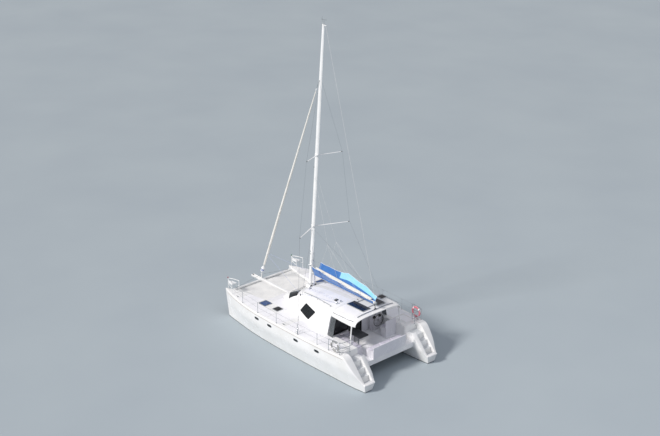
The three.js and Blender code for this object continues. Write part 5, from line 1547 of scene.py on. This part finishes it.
# The rig. Spreaders: node, height of the root, tip along, across and up.
SPREADERS = [("lower_spreaders", 6.25, (0.0, 1.72, 6.32)), ("upper_spreaders", 10.30, (0.02, 1.20, 10.37))]
LOW_TANG_Z = 6.0
MAST_WIDE = 0.118
MAST_FLAT = 0.62
MAST_TAPER_Z = 12.5
MAST_TAPER = 0.62
BOOM_R = (0.083, 0.075)
BOOM_DROP = 0.03
CHAINPLATE = np.array([-1.30, 3.02, DECK_Z])
# Sail cover. Columns: place along, height of its port and starboard edges, how far each leans out.
COVER_ROWS = np.array([
    [-3.78, 3.63, 3.70, 0.17, 0.22],
    [-3.10, 3.70, 3.86, 0.22, 0.34],
    [-2.10, 3.79, 4.05, 0.25, 0.41],
    [-1.50, 3.84, 4.14, 0.265, 0.42],
    [-0.90, 3.89, 4.08, 0.27, 0.415],
    [0.30, 3.99, 4.02, 0.27, 0.41],
    [0.78, 4.02, 4.05, 0.26, 0.40],
])
COVER_POINTS = 60
COVER_GAP = 0.0125
# Where the pale blue painted sunlight lies: its span along the cover, and the profile's point from which it
# runs up the starboard side.
SUNLIT_PAINT_X = (-3.765, -0.85)
SUNLIT_PAINT_FROM = 44
# Flaked sail. Columns: place along the boom, half width and height of the heap.
FOLD_ROWS = np.array([[-3.60, 0.080, 0.09], [-3.00, 0.105, 0.13], [-2.10, 0.125, 0.18], [-0.90, 0.130, 0.24],
                      [0.30, 0.120, 0.31], [0.72, 0.085, 0.34]])
FOLDS = 30
CLOTH_HALF = 0.0009
# Furled headsail: share of the stay, radius.
FURL_ROWS = np.array([[0.050, 0.040], [0.060, 0.060], [0.150, 0.070], [0.250, 0.073], [0.550, 0.060],
                      [0.850, 0.042], [0.950, 0.024]])
FURL_TURNS = 9
FURL_CORE = 0.013
CANVAS_T = 0.003
JACK_X = [0.15, -1.35, -2.85]
SHEET_LEAD = (0.62, 1.20)
TRACK_X = -3.885


def mast_at(z, back=0.0):
    """The mast's axis at a height, or a place behind it."""
    return np.array([MAST_FOOT[0] - MAST_RAKE * (z - MAST_FOOT[1]) - back, 0.0, z])


NOSE_X = mast_at(GOOSENECK_Z, GOOSENECK_BACK + 0.062)[0]


def mast_half(z):
    """Half the mast's fore and aft width; it narrows evenly above the taper's foot."""
    part = np.clip((z - MAST_TAPER_Z) / (MAST_TOP_Z - MAST_TAPER_Z), 0, 1)
    return MAST_WIDE * (1 - (1 - MAST_TAPER) * part)


def mast_tube(low, high, grow=0.0, rows=2):
    """The mast between two heights. Its section is an oval, x = a cos t, y = b sin t, sharpened a little at
    its after side, where the sail's groove is."""
    angle = around(40)
    rings = []
    for z in np.linspace(low, high, rows):
        half = mast_half(z)
        y = (half * MAST_FLAT + grow) * np.sin(angle) * (1 + 0.06 * np.cos(angle))
        rings.append(np.stack([(half + grow) * np.cos(angle), y, 0 * angle], axis=1) + mast_at(z))
    return closed(rings)


def sheave(radius, place, sides):
    """A grooved wheel 16 mm thick, its axle from side to side."""
    rim = [(0, -0.008), (radius, -0.008), (radius - 0.005, 0), (radius, 0.008), (0, 0.008)]
    return spun(rim, place, sides, ("X", 90))


def block_wheel(radius, half, place, sides):
    """The round body of a rope block, a little thicker at its axle, which lies from side to side."""
    return spun([(0, -half), (radius, 0.002 - half), (radius, half - 0.002), (0, half)], place, sides,
                ("X", 90))


def make_mast():
    """The mast: a tapered oval tube on a step, the sail's track, the boom's pivot, a crane and lamps at its
    head, a steaming lamp, halyards that leave it near its foot, and two winches."""
    foot, head = MAST_FOOT[1], MAST_TOP_Z
    track = []
    for z in np.linspace(3.75, head - 0.15, 30):
        x = mast_at(z, mast_half(z))[0]
        track.append([[x + 0.004, 0.014, z], [x - 0.010, 0.011, z], [x - 0.010, -0.011, z],
                      [x + 0.004, -0.014, z]])
    x = mast_at(GOOSENECK_Z)[0]
    top = mast_at(head)
    crane = top[[0, 2]] + [(0.10, -0.03), (-0.21, -0.045), (-0.225, -0.03), (-0.20, -0.005), (0.10, 0.0)]
    pivot = [mast_at(GOOSENECK_Z + off, GOOSENECK_BACK) for off in (-0.06, 0.06)]
    parts = [mast_tube(foot + 0.0002, head, rows=48), closed(track, flat=True), rod(*pivot, 0.03, sides=24),
             block((x - GOOSENECK_BACK, -0.02, GOOSENECK_Z - 0.04), (x, 0.02, GOOSENECK_Z + 0.04)),
             mast_tube(head - 0.001, head + 0.012, 0.006), prism(crane, -0.014, 0.014, upright=False)]
    make("mast_tube", parts, SPAR, slot="painted_spar", replaces=["mast"])
    fittings = [mast_tube(foot + 0.0004, foot + 0.05, 0.014)]
    fittings += [block(mast_at(z) + [0.02, 0.065, -0.03], mast_at(z) + [0.07, 0.085, 0.03])
                 for z in (4.6, 4.75)]
    fittings.append(sheave(0.036, mast_at(head - 0.035, GOOSENECK_BACK), 24))
    fittings.append(sheave(0.036, mast_at(head - 0.02, -0.09), 24))
    for z, y, lean in ((3.95, 0.075, -90), (4.15, -0.075, 90)):
        fittings.append(winch(mast_at(z) + [0, y * 0.93, 0], 0.75, ("X", lean)))
    make("mast_fittings", fittings, STEEL, slot="stainless")
    lamp = [(0, 0.01), (0.03, 0.01), (0.032, 0.05), (0.026, 0.075), (0, 0.08)]
    make("anchor_lamp", spun(lamp, top + [0.03, 0, 0], 20), CLEAR_LENS, slot="tinted_acrylic")
    feather = top[[0, 2]] + [(-0.18, 0.26), (-0.24, 0.29), (-0.20, 0.26), (-0.24, 0.23)]
    point = top[[0, 2]] + [(0.14, 0.26), (0.09, 0.275), (0.09, 0.245)]
    steaming = [(0, -0.05), (0.035, -0.045), (0.038, 0), (0.03, 0.03), (0, 0.035)]
    vane = [rod(top + [-0.05, 0, 0], top + [-0.05, 0, 0.26], 0.004),
            rod(top + [-0.18, 0, 0.26], top + [0.10, 0, 0.26], 0.003),
            rod(top + [0.08, 0, 0], top + [0.08, 0, 0.42], 0.0035, 0.002),
            prism(feather, -0.002, 0.002, upright=False), prism(point, -0.003, 0.003, upright=False),
            spun(steaming, mast_at(9.6, -0.125), 20)]
    make("masthead_vane_and_steaming_lamp", vane, BLACK, slot="black_rim")
    halyards, turning = [], []
    for i in range(4):
        y = 0.10 + 0.035 * i
        centre = np.array([0.955, y, float(cabin_top(0.955, y)) + 0.03])
        turning += [sheave(0.028, centre, 20),
                    block(centre - [0.03, 0.012, 0.034], centre + [0.03, 0.012, -0.02])]
        upper = mast_at(3.9 + 0.4 * i, 0.075) + [0, 0.058, 0]
        halyards.append(rod(centre + [0.026, 0, 0], upper, 0.0055, sides=8))
    make_pair("halyards", halyards, ROPE, slot="sailcloth")
    make_pair("turning_blocks", turning, BLACK, slot="black_rim")


def make_spreaders():
    """Each pair: two flat tapering arms swept aft from a collar around the mast, with rubber tip cups."""
    tips = []
    for name, root_z, tip in SPREADERS:
        parts = [mast_tube(root_z - 0.07, root_z + 0.06, 0.012)]
        for sign in SIDES.values():
            root, end = mast_at(root_z, 0.03), np.array(tip) * [1, sign, 1]
            way = unit(end - root)
            parts.append(carried(np.linspace(root, end, 14), circle(0.036, 16, 0.5),
                                 np.linspace(1.15, 0.62, 14)))
            parts.append(rod(root + way * 0.05, root + way * 0.16, 0.045, 0.03, sides=16))
            tips.append(rod(end - way * 0.05, end + way * 0.012, 0.024, 0.018, sides=16))
        make(f"{name}_arms", parts, SPAR, slot="painted_spar", replaces=[name])
    make("spreader_tip_cups", tips, RUBBER, slot="black_rim")


def turnbuckle(foot, top):
    """A toggle, a slim body that is thickest at its middle, and a swaged end on the wire, 0.34 m in all."""
    way = unit(top - foot)
    part = np.array([0, 0.08, 0.12, 0.2, 0.8, 0.88, 0.92, 1.0]) * 0.34
    size = [0.009, 0.009, 0.015, 0.0165, 0.0165, 0.015, 0.009, 0.009]
    return [carried(foot + way * part[:, None], circle(1.0, 12), size),
            carried([foot - way * 0.01, foot + way * 0.03], circle(0.016, 12, 0.6))]


def make_shrouds():
    """Wire shrouds of 12 mm: the cap shroud from the hull over both spreader tips to the hounds, and the
    lower shroud to the lower spreaders' root, each with a turnbuckle on a chainplate."""
    tang_z = (STAY_TOP_Z, LOW_TANG_Z)
    lower, upper = (np.array(tip) + [-0.006, 0.024, 0] for _, _, tip in SPREADERS)
    hounds, low_top = (mast_at(z) + [0, mast_half(z) * MAST_FLAT + 0.006, 0] for z in tang_z)
    foot, second = CHAINPLATE + [0, 0, 0.03], CHAINPLATE + [0.15, -0.04, 0.03]
    spans = ((foot, lower), (lower, upper), (upper, hounds), (second, low_top))
    wires = [rod(a, b, 0.006) for a, b in spans]
    knot = [(0, -0.01), (0.007, -0.008), (0.0105, 0), (0.007, 0.008), (0, 0.01)]
    wires += [spun(knot, place, 12) for place in (lower, upper)]
    make_pair("shroud_wires", wires, STEEL, slot="stainless", replaces=["{}_shrouds"])
    gear = turnbuckle(foot, lower) + turnbuckle(second, low_top)
    for place in (foot, second):
        gear.append(tile(0.10, 0.05, 0.015, place[:2], DECK_Z - 0.002, DECK_Z + 0.012, 0.003))
        gear.append(block(place - [0.018, 0.005, 0.03], place + [0.018, 0.005, 0.012]))
    make_pair("shroud_turnbuckles", gear, STEEL, slot="stainless")
    sides = [mast_at(z) + [0, mast_half(z) * MAST_FLAT, 0] for z in tang_z]
    tangs = [block(side - [0.02, 0.004, 0.05], side + [0.02, 0.004, 0.05]) for side in sides]
    make_pair("shroud_tangs", tangs, STEEL, slot="stainless")


def boom_line(x):
    """The boom's axis height and half depth at a place along."""
    part = (NOSE_X - x) / (NOSE_X - BOOM_END_X)
    return GOOSENECK_Z - BOOM_DROP * part, BOOM_R[0] + (BOOM_R[1] - BOOM_R[0]) * part


def make_boom():
    """The boom: an oval tube between two cast ends, its cheeks over and under the mast's pivot, a bail for
    the mainsheet, and the three reefing lines from its forward end down to eyes on the cabin top."""
    start, end = np.array([NOSE_X, 0, GOOSENECK_Z]), np.array([BOOM_END_X, 0, GOOSENECK_Z - BOOM_DROP])
    section = circle(1.0, 32) * [0.8, 1.0]
    tube = carried(np.linspace(start, end, 12), section, np.linspace(*BOOM_R, 12))
    make("boom_tube", tube, SPAR, body="boom", slot="painted_spar", replaces=["boom"])
    cast = [block(start - [0.04, 0.03, 0.08], start + [0, 0.03, 0.08])]
    for sign in (1, -1):
        near, far = (mast_at(GOOSENECK_Z + sign * off, GOOSENECK_BACK) for off in (0.0606, 0.0826))
        cast.append(rod(near, far, 0.044, sides=24))
        low, high = sorted((GOOSENECK_Z + sign * 0.0636, GOOSENECK_Z + sign * 0.0796))
        cast.append(block((NOSE_X - 0.03, -0.03, low), (NOSE_X + 0.062, 0.03, high)))
    for low, high, half in ((-0.001, 0.022, BOOM_R[0]), (0.978, 1.001, BOOM_R[1])):
        cast.append(carried([start + (end - start) * part for part in (low, high)],
                            section * (half + 0.0005)))
    bail = end + [(0.11, 0.035, -0.06), (0.11, 0.03, -0.10), (0.11, -0.03, -0.10), (0.11, -0.035, -0.06)]
    cast.append(smooth_tube(bail, 0.007, 20))
    make("boom_castings", cast, GREY, body="boom", slot="painted_spar", sharp=30)
    eye = [(0, -0.01), (0.016, -0.008), (0.016, 0.004), (0.009, 0.012), (0, 0.014)]
    lines = []
    for y in (-0.022, 0.0, 0.022):
        low = np.array([0.90, y * 1.5, float(cabin_top(0.90, y)) + 0.004])
        lines += [rod(low, (NOSE_X - 0.03, y, GOOSENECK_Z - 0.079), 0.0055, sides=8), spun(eye, low, 14)]
    reefing = make("reefing_lines", lines, BLUE_ROPE, body=None, slot="blue_canvas")
    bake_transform(reefing)


def cover_profile(x, port_z, star_z, port_y, star_y, shift):
    """The open cover's section at one place along: down the port panel, half an oval round under the boom,
    and up the starboard panel, as one smooth line from edge to edge; shift moves it towards the inside."""
    middle, half = boom_line(x)
    top = middle + half
    line = [(port_y * out, top + up * (port_z - top)) for out, up in ((1, 1), (0.90, 0.72), (0.72, 0.42))]
    for angle in np.linspace(0, np.pi, 13):
        line.append(((0.8 * half + COVER_GAP) * math.cos(angle),
                     middle - (half + COVER_GAP) * math.sin(angle)))
    line += [(-star_y * out, top + up * (star_z - top)) for out, up in ((0.70, 0.42), (0.88, 0.72), (1, 1))]
    line = along(line, COVER_POINTS)
    ahead = np.gradient(line, axis=0)
    inward = unit(np.stack([ahead[:, 1], -ahead[:, 0]], axis=1))
    return line + inward * shift * np.sign(inward[COVER_POINTS // 2, 1])


def cover_sheet(inner, outer, x_from, x_to, first=0):
    """The cover between two distances inside its outer face. Its edges sag between the lazy jacks by
    45 mm sin(pi s), and the cloth puckers along the edges by 6 mm cos(2 pi x / 0.23), fading below them. The
    sheet runs from the profile's point first to its starboard edge."""
    places = np.linspace(x_from, x_to, 110)
    knots = np.array([COVER_ROWS[0, 0], *JACK_X[::-1], COVER_ROWS[-1, 0]])
    span = np.clip(np.searchsorted(knots, places, side="right") - 1, 0, len(knots) - 2)
    wide = np.diff(knots)[span]
    sag = 0.045 * np.sin(np.pi * np.clip((places - knots[span]) / wide, 0, 1)) * np.minimum(1, wide / 1.2)
    reach = np.abs(np.linspace(-1, 1, COVER_POINTS)) ** 3
    rings = []
    for x, droop, row in zip(places, sag, columns_at(COVER_ROWS, places).T):
        pucker = 0.006 * math.cos(2 * math.pi * x / 0.23) + 0.004 * math.cos(2 * math.pi * x / 0.61 + 1)
        faces = []
        for shift in (outer, inner):
            line = cover_profile(x, *row, shift)
            low = line[:, 1].min()
            line[:, 1] = low + (line[:, 1] - low) * (1 - reach * droop / max(row[0] - low, 0.1))
            line[:, 0] += np.sign(line[:, 0]) * reach * pucker
            faces.append(line[first:])
        rings.append(at_x(x, np.vstack([faces[0], faces[1][::-1]])))
    length = np.linalg.norm(np.diff(np.array(rings)[:, :COVER_POINTS - first], axis=1), axis=-1).sum(1)
    return closed(rings, flat=True), float(length.max()), float(length.mean() * (places[-1] - places[0]))


def cover_strap(line):
    """A flat band 50 mm wide that follows a line round the cover, just off its outer face."""
    ahead = np.gradient(line, axis=0)
    normal = unit(np.stack([0 * ahead[:, 0], -ahead[:, 2], ahead[:, 1]], axis=1))
    outward = normal * -np.sign((normal[:, 1:] * ([0, 4.2] - line[:, 1:])).sum(1, keepdims=True))
    near, far, half = line + outward * 0.0006, line + outward * 0.003, np.array([0.025, 0, 0])
    return closed(np.stack([near - half, near + half, far + half, far - half], axis=1), flat=True)


def make_cover():
    """The stack-pack cover, a trough that the boom lies in, open like a book: a royal blue sheet, a pale
    blue sheet of painted sunlight along the upper after part of the inside of its starboard side, a white
    batten sleeve along each edge, and three webbing straps round it."""
    shape, width, area = cover_sheet(CANVAS_T, 0.0, COVER_ROWS[0, 0], COVER_ROWS[-1, 0])
    cover = make("sail_cover_canvas", shape, CANVAS, body="boom", slot="blue_canvas", sharp=70,
                 replaces=["sail_cover"])
    inside, width, area = cover_sheet(2 * CANVAS_T + 0.002, CANVAS_T + 0.001, *SUNLIT_PAINT_X, SUNLIT_PAINT_FROM)
    sunlit_paint = make("sail_cover_painted_sunlight", inside, SUNLIT_PAINT_CANVAS, body="boom", slot="blue_canvas", sharp=70)
    outside = shape[0].reshape(-1, 2 * COVER_POINTS, 3)[:, :COVER_POINTS]
    edges = [outside[:, 0] + [0, 0.004, 0.004], outside[:, -1] + [0, -0.004, 0.004]]
    make("cover_batten_tubes", [carried(edge, circle(0.009, 10)) for edge in edges], BATTEN, body="boom",
         slot="blue_canvas")
    straps = [cover_strap(outside[np.argmin(np.abs(outside[:, 0, 0] - x))]) for x in JACK_X]
    make("cover_webbing", straps, NAVY, body="boom", slot="blue_canvas")
    return outside


def make_flaked_sail():
    """The mainsail dropped between the cover's sides in thirty flakes. Across the boom, height rises evenly
    while the cloth swings from side to side by w clip(1.3 sin(pi t), -1, 1), each flake a little wider or
    narrower and its ends hanging; the whole is a sheet 2 mm thick."""
    places = np.linspace(FOLD_ROWS[0, 0], FOLD_ROWS[-1, 0], 64)
    t = np.linspace(0, FOLDS, FOLDS * 9 + 1)
    part = t / FOLDS
    swing = np.clip(1.3 * np.sin(np.pi * t), -1, 1) * (1 - 0.35 * part ** 3)
    flake = np.round(t - 0.5)
    rings = []
    for x, wide, height in zip(places, *columns_at(FOLD_ROWS, places)):
        vary = 0.86 + 0.10 * np.sin(2.3 * flake + 1.1 * x) + 0.04 * np.sin(5.1 * flake - 2.7 * x)
        y = wide * swing * vary + 0.012 * np.sin(1.9 * x + 0.4 * flake) * part
        base = sum(boom_line(x)) + 0.002
        droop = 0.1225 * height * (y / wide) ** 2 * part
        z = base + (height - 0.012) * part - droop + 0.011 * height * np.sin(3.1 * x + flake)
        line = np.stack([y, np.maximum(z, base)], axis=1)
        ahead = np.gradient(line, axis=0)
        off = unit(np.stack([-ahead[:, 1], ahead[:, 0]], axis=1)) * CLOTH_HALF
        rings.append(at_x(x, np.vstack([line + off, (line - off)[::-1]])))
    sail = make("mainsail_flakes", closed(rings, flat=True), CLOTH, body="boom", slot="sailcloth", sharp=80,
                replaces=["flaked_mainsail"])


def make_headsail():
    """The furled headsail: nine turns of cloth rolled round its foil. In each section the radius grows
    evenly with the angle, from the foil to the roll's outside; the whole roll twists one turn every 2.2 m,
    so its free edge winds round it."""
    foot = np.array([BEAM_X + 0.01, 0, STRIKER_Z])
    top = mast_at(STAY_TOP_Z, -(mast_half(STAY_TOP_Z) + 0.0115))
    length = np.linalg.norm(top - foot)
    way = (top - foot) / length
    side = np.array([0.0, 1.0, 0.0])
    other = np.cross(way, side)
    share = np.linspace(FURL_ROWS[0, 0], FURL_ROWS[-1, 0], 150)
    turns = np.linspace(0, 1, FURL_TURNS * 15 + 1)
    rings = []
    for part, radius in zip(share, columns_at(FURL_ROWS, share)[0] * (1 + 0.03 * np.sin(share * 61))):
        angle = 2 * np.pi * (FURL_TURNS * turns + part * length / 2.2)
        out = np.outer(np.cos(angle), side) + np.outer(np.sin(angle), other)
        reach = (FURL_CORE + (radius - FURL_CORE) * turns)[:, None]
        faces = np.vstack([out * (reach + 0.0007), (out * (reach - 0.0007))[::-1]])
        rings.append(foot + way * part * length + faces)
    roll = make("headsail_roll", closed(rings, flat=True), CLOTH, slot="sailcloth", sharp=80,
                replaces=["furled_headsail"])
    make("headsail_foil", rod(foot + way * 0.0004, top, 0.0105, sides=14), ANODISED, slot="painted_spar")
    drum = [(0, 0.0), (0.012, 0.0), (0.02, 0.08), (0.04, 0.13), (0.10, 0.17), (0.115, 0.185), (0.115, 0.205),
            (0.07, 0.215), (0.068, 0.385), (0.115, 0.395), (0.115, 0.415), (0.09, 0.44), (0.06, 0.53),
            (0.035, 0.58), (0, 0.58)]
    swivel = [(0, 0), (0.03, 0), (0.034, 0.02), (0.034, 0.10), (0.022, 0.14), (0, 0.14)]
    wound = [(radius, z + up) for z in np.linspace(0.222, 0.37, 11)
             for radius, up in ((0.084, 0), (0.077, 0.007))]
    lean = ("Y", math.degrees(math.atan2(way[0], way[2])))
    drum_at = foot + way * 0.03
    gear = [spun(drum, drum_at, 28, lean), spun(swivel, foot + way * length * 0.953, 20, lean)]
    make("furling_gear", gear, BOARD, slot="sailcloth")
    make("furling_line_on_drum", spun([(0, 0.22), *wound, (0, 0.38)], drum_at, 28, lean), BLUE_ROPE,
         slot="blue_canvas")
    x, y = SHEET_LEAD
    z = float(cabin_top(x, y))
    cord = circle(0.006, 8)
    sheets, blocks = [], []
    for sign in SIDES.values():
        lead = np.array([x, sign * y, z + 0.06])
        clew = foot + way * length * 0.115 + [-0.02, sign * 0.06, 0]
        tail = on_roof([(x, sign * y), (-0.4, sign * 1.16), (-1.4, sign * 1.12), (-2.0, sign * 1.03)], 0.05)
        sheets.append(carried(np.linspace(clew, lead, 12), cord))
        sheets.append(carried(np.vstack([lead, tail[1:-1], tail[-1] + [0, 0, 0.02]]), cord))
        blocks.append(tile(0.09, 0.04, 0.012, (x, sign * y), z - 0.01, z + 0.025, 0.004))
        blocks.append(block_wheel(0.034, 0.014, (x, sign * y, z + 0.045), 20))
    make("headsail_sheets", sheets, BLUE_ROPE, slot="blue_canvas")
    make("sheet_lead_blocks", blocks, BLACK, slot="black_rim")


def make_running_rigging(cover):
    """The topping lift, the lazy jacks from the mast to the cover's edges, and the mainsheet from the boom's
    end to its car on a track across the hardtop."""
    end = np.array([BOOM_END_X + 0.06, 0, GOOSENECK_Z - BOOM_DROP + 0.078])
    lift = [rod(end, mast_at(MAST_TOP_Z - 0.062, GOOSENECK_BACK), 0.005, sides=8),
            spun([(0, 0), (0.012, 0.01), (0.012, 0.05), (0, 0.06)], end, 12)]
    make("topping_lift_rope", lift, ROPE, body="boom", slot="stainless", replaces=["topping_lift"])
    jacks = []
    for column, sign in ((0, 1), (-1, -1)):
        ring = np.array([-0.55, sign * 0.30, 5.7])
        jacks.append(rod(mast_at(9.2, -0.02) + [0, sign * 0.075, 0], ring, 0.004, sides=6))
        for x in JACK_X:
            edge = cover[np.argmin(np.abs(cover[:, column, 0] - x)), column]
            jacks.append(rod(ring, edge + [0, 0, 0.008], 0.004, sides=6))
    lazy = make("lazy_jacks", jacks, ROPE, body=None, slot="stainless")
    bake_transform(lazy)
    y = np.linspace(-1.25, 1.25, 41)
    x = np.full(41, TRACK_X)
    section = np.array([[0.019, -0.012], [0.019, 0.012], [-0.019, 0.012], [-0.019, -0.012]])
    beam = [carried(np.stack([x, y, roof_top(x, y) + 0.030], axis=1), section)]
    for foot in np.linspace(-1.2, 1.2, 9):
        place = np.array([TRACK_X, foot, float(roof_top(TRACK_X, foot))])
        beam.append(block(place - [0.016, 0.02, 0.006], place + [0.016, 0.02, 0.02]))
    make("mainsheet_track", beam, ANODISED, slot="painted_spar")
    z = float(roof_top(TRACK_X, 0.0)) + 0.042
    car = [block((TRACK_X - 0.03, -0.07, z), (TRACK_X + 0.03, 0.07, z + 0.026)),
           block_wheel(0.030, 0.024, (TRACK_X, 0, z + 0.06), 24)]
    make("mainsheet_car", car, BLACK, slot="black_rim", bevel=0.003)
    hung, upper = BOOM_END_X + 0.11, GOOSENECK_Z - BOOM_DROP - 0.135
    make("mainsheet_boom_block", block_wheel(0.030, 0.024, (hung, 0, upper), 24), BLACK, body="boom",
         slot="black_rim")
    falls = [rod((TRACK_X + off, y, z + 0.06), (hung + off, y, upper), 0.0055, sides=8)
             for y in (-0.018, -0.006, 0.006, 0.018) for off in (-0.026, 0.026)]
    sheet = make("mainsheet_falls", falls, ROPE, body=None, slot="stainless")
    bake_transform(sheet)


# Camera, light and stage.
CAMERA = (-43.86, 38.66, 30.88)
AIM = (-0.4, 0.0, 7.1)
LENS = 66.0
FLOOR_REACH = 600.0


def aimed(name, data, place, aim):
    """A camera or a lamp at one place that looks at another."""
    made = shown(name, data)
    made.location = place
    made.rotation_euler = (Vector(aim) - Vector(place)).to_track_quat("-Z", "Y").to_euler()
    return made


def set_light(name, kind, place, aim, size, power, colour):
    """A lamp aimed at a point: size is the disk's breadth in metres, or the sun's in degrees."""
    data = bpy.data.lights.new(name, kind)
    if kind == "SUN":
        data.angle = math.radians(size)
    else:
        data.shape = "DISK"
        data.size = size
    data.energy = power
    data.color = linear(colour)[:3]
    aimed(name, data, place, aim)


def set_stage():
    """The camera at the photograph's angle, a pale matt floor at the waterline, a pale sky, a broad key
    light from the port bow and a soft fill."""
    data = bpy.data.cameras.new("camera")
    data.lens = LENS
    data.clip_end = 1000
    bpy.context.scene.camera = aimed("camera", data, CAMERA, AIM)
    corners = np.array([[-1, -1, 0], [1, -1, 0], [1, 1, 0], [-1, 1, 0]]) * FLOOR_REACH
    floor = bare("floor", (corners, [[0, 1, 2, 3]]))
    floor.data.materials.append(surface("pale_floor", "#A9B4BA", "#A4AFB6", 8.0, (0.85, 0.9), 8.0, [],
                                        IOR=1.4))
    world = bpy.data.worlds.new("sky")
    world.use_nodes = True
    sky = world.node_tree.nodes["Background"]
    sky.inputs["Color"].default_value = linear("#E9EAF2")
    sky.inputs["Strength"].default_value = 0.5
    bpy.context.scene.world = world
    set_light("key", "SUN", (10, 46, 36), (0, 0, 0), 12, 3.0, "#FFF9F4")
    set_light("fill", "AREA", (-22, 6, 44), (0, 0, 3), 24, 2400, "#EAF1FF")
    view = bpy.context.scene.view_settings
    view.view_transform = "Standard"
    view.exposure = 0.0


def main():
    set_stage()
    make_hulls()
    make_deck_panels()
    make_cleats()
    make_portlights()
    make_rub_rails()
    make_treads()
    make_underwater()
    make_propellers()
    make_hatches()
    make_cabin()
    make_hardtop()
    make_solar_panels()
    make_roof_panels()
    make_roof_gear()
    make_saloon_end()
    make_cockpit()
    make_cushions()
    make_helm()
    make_front_beams()
    make_nets()
    make_pulpits()
    make_lifelines()
    make_lifebuoys()
    make_mast()
    make_spreaders()
    make_shrouds()
    make_boom()
    cover = make_cover()
    make_flaked_sail()
    make_headsail()
    make_running_rigging(cover)


main()
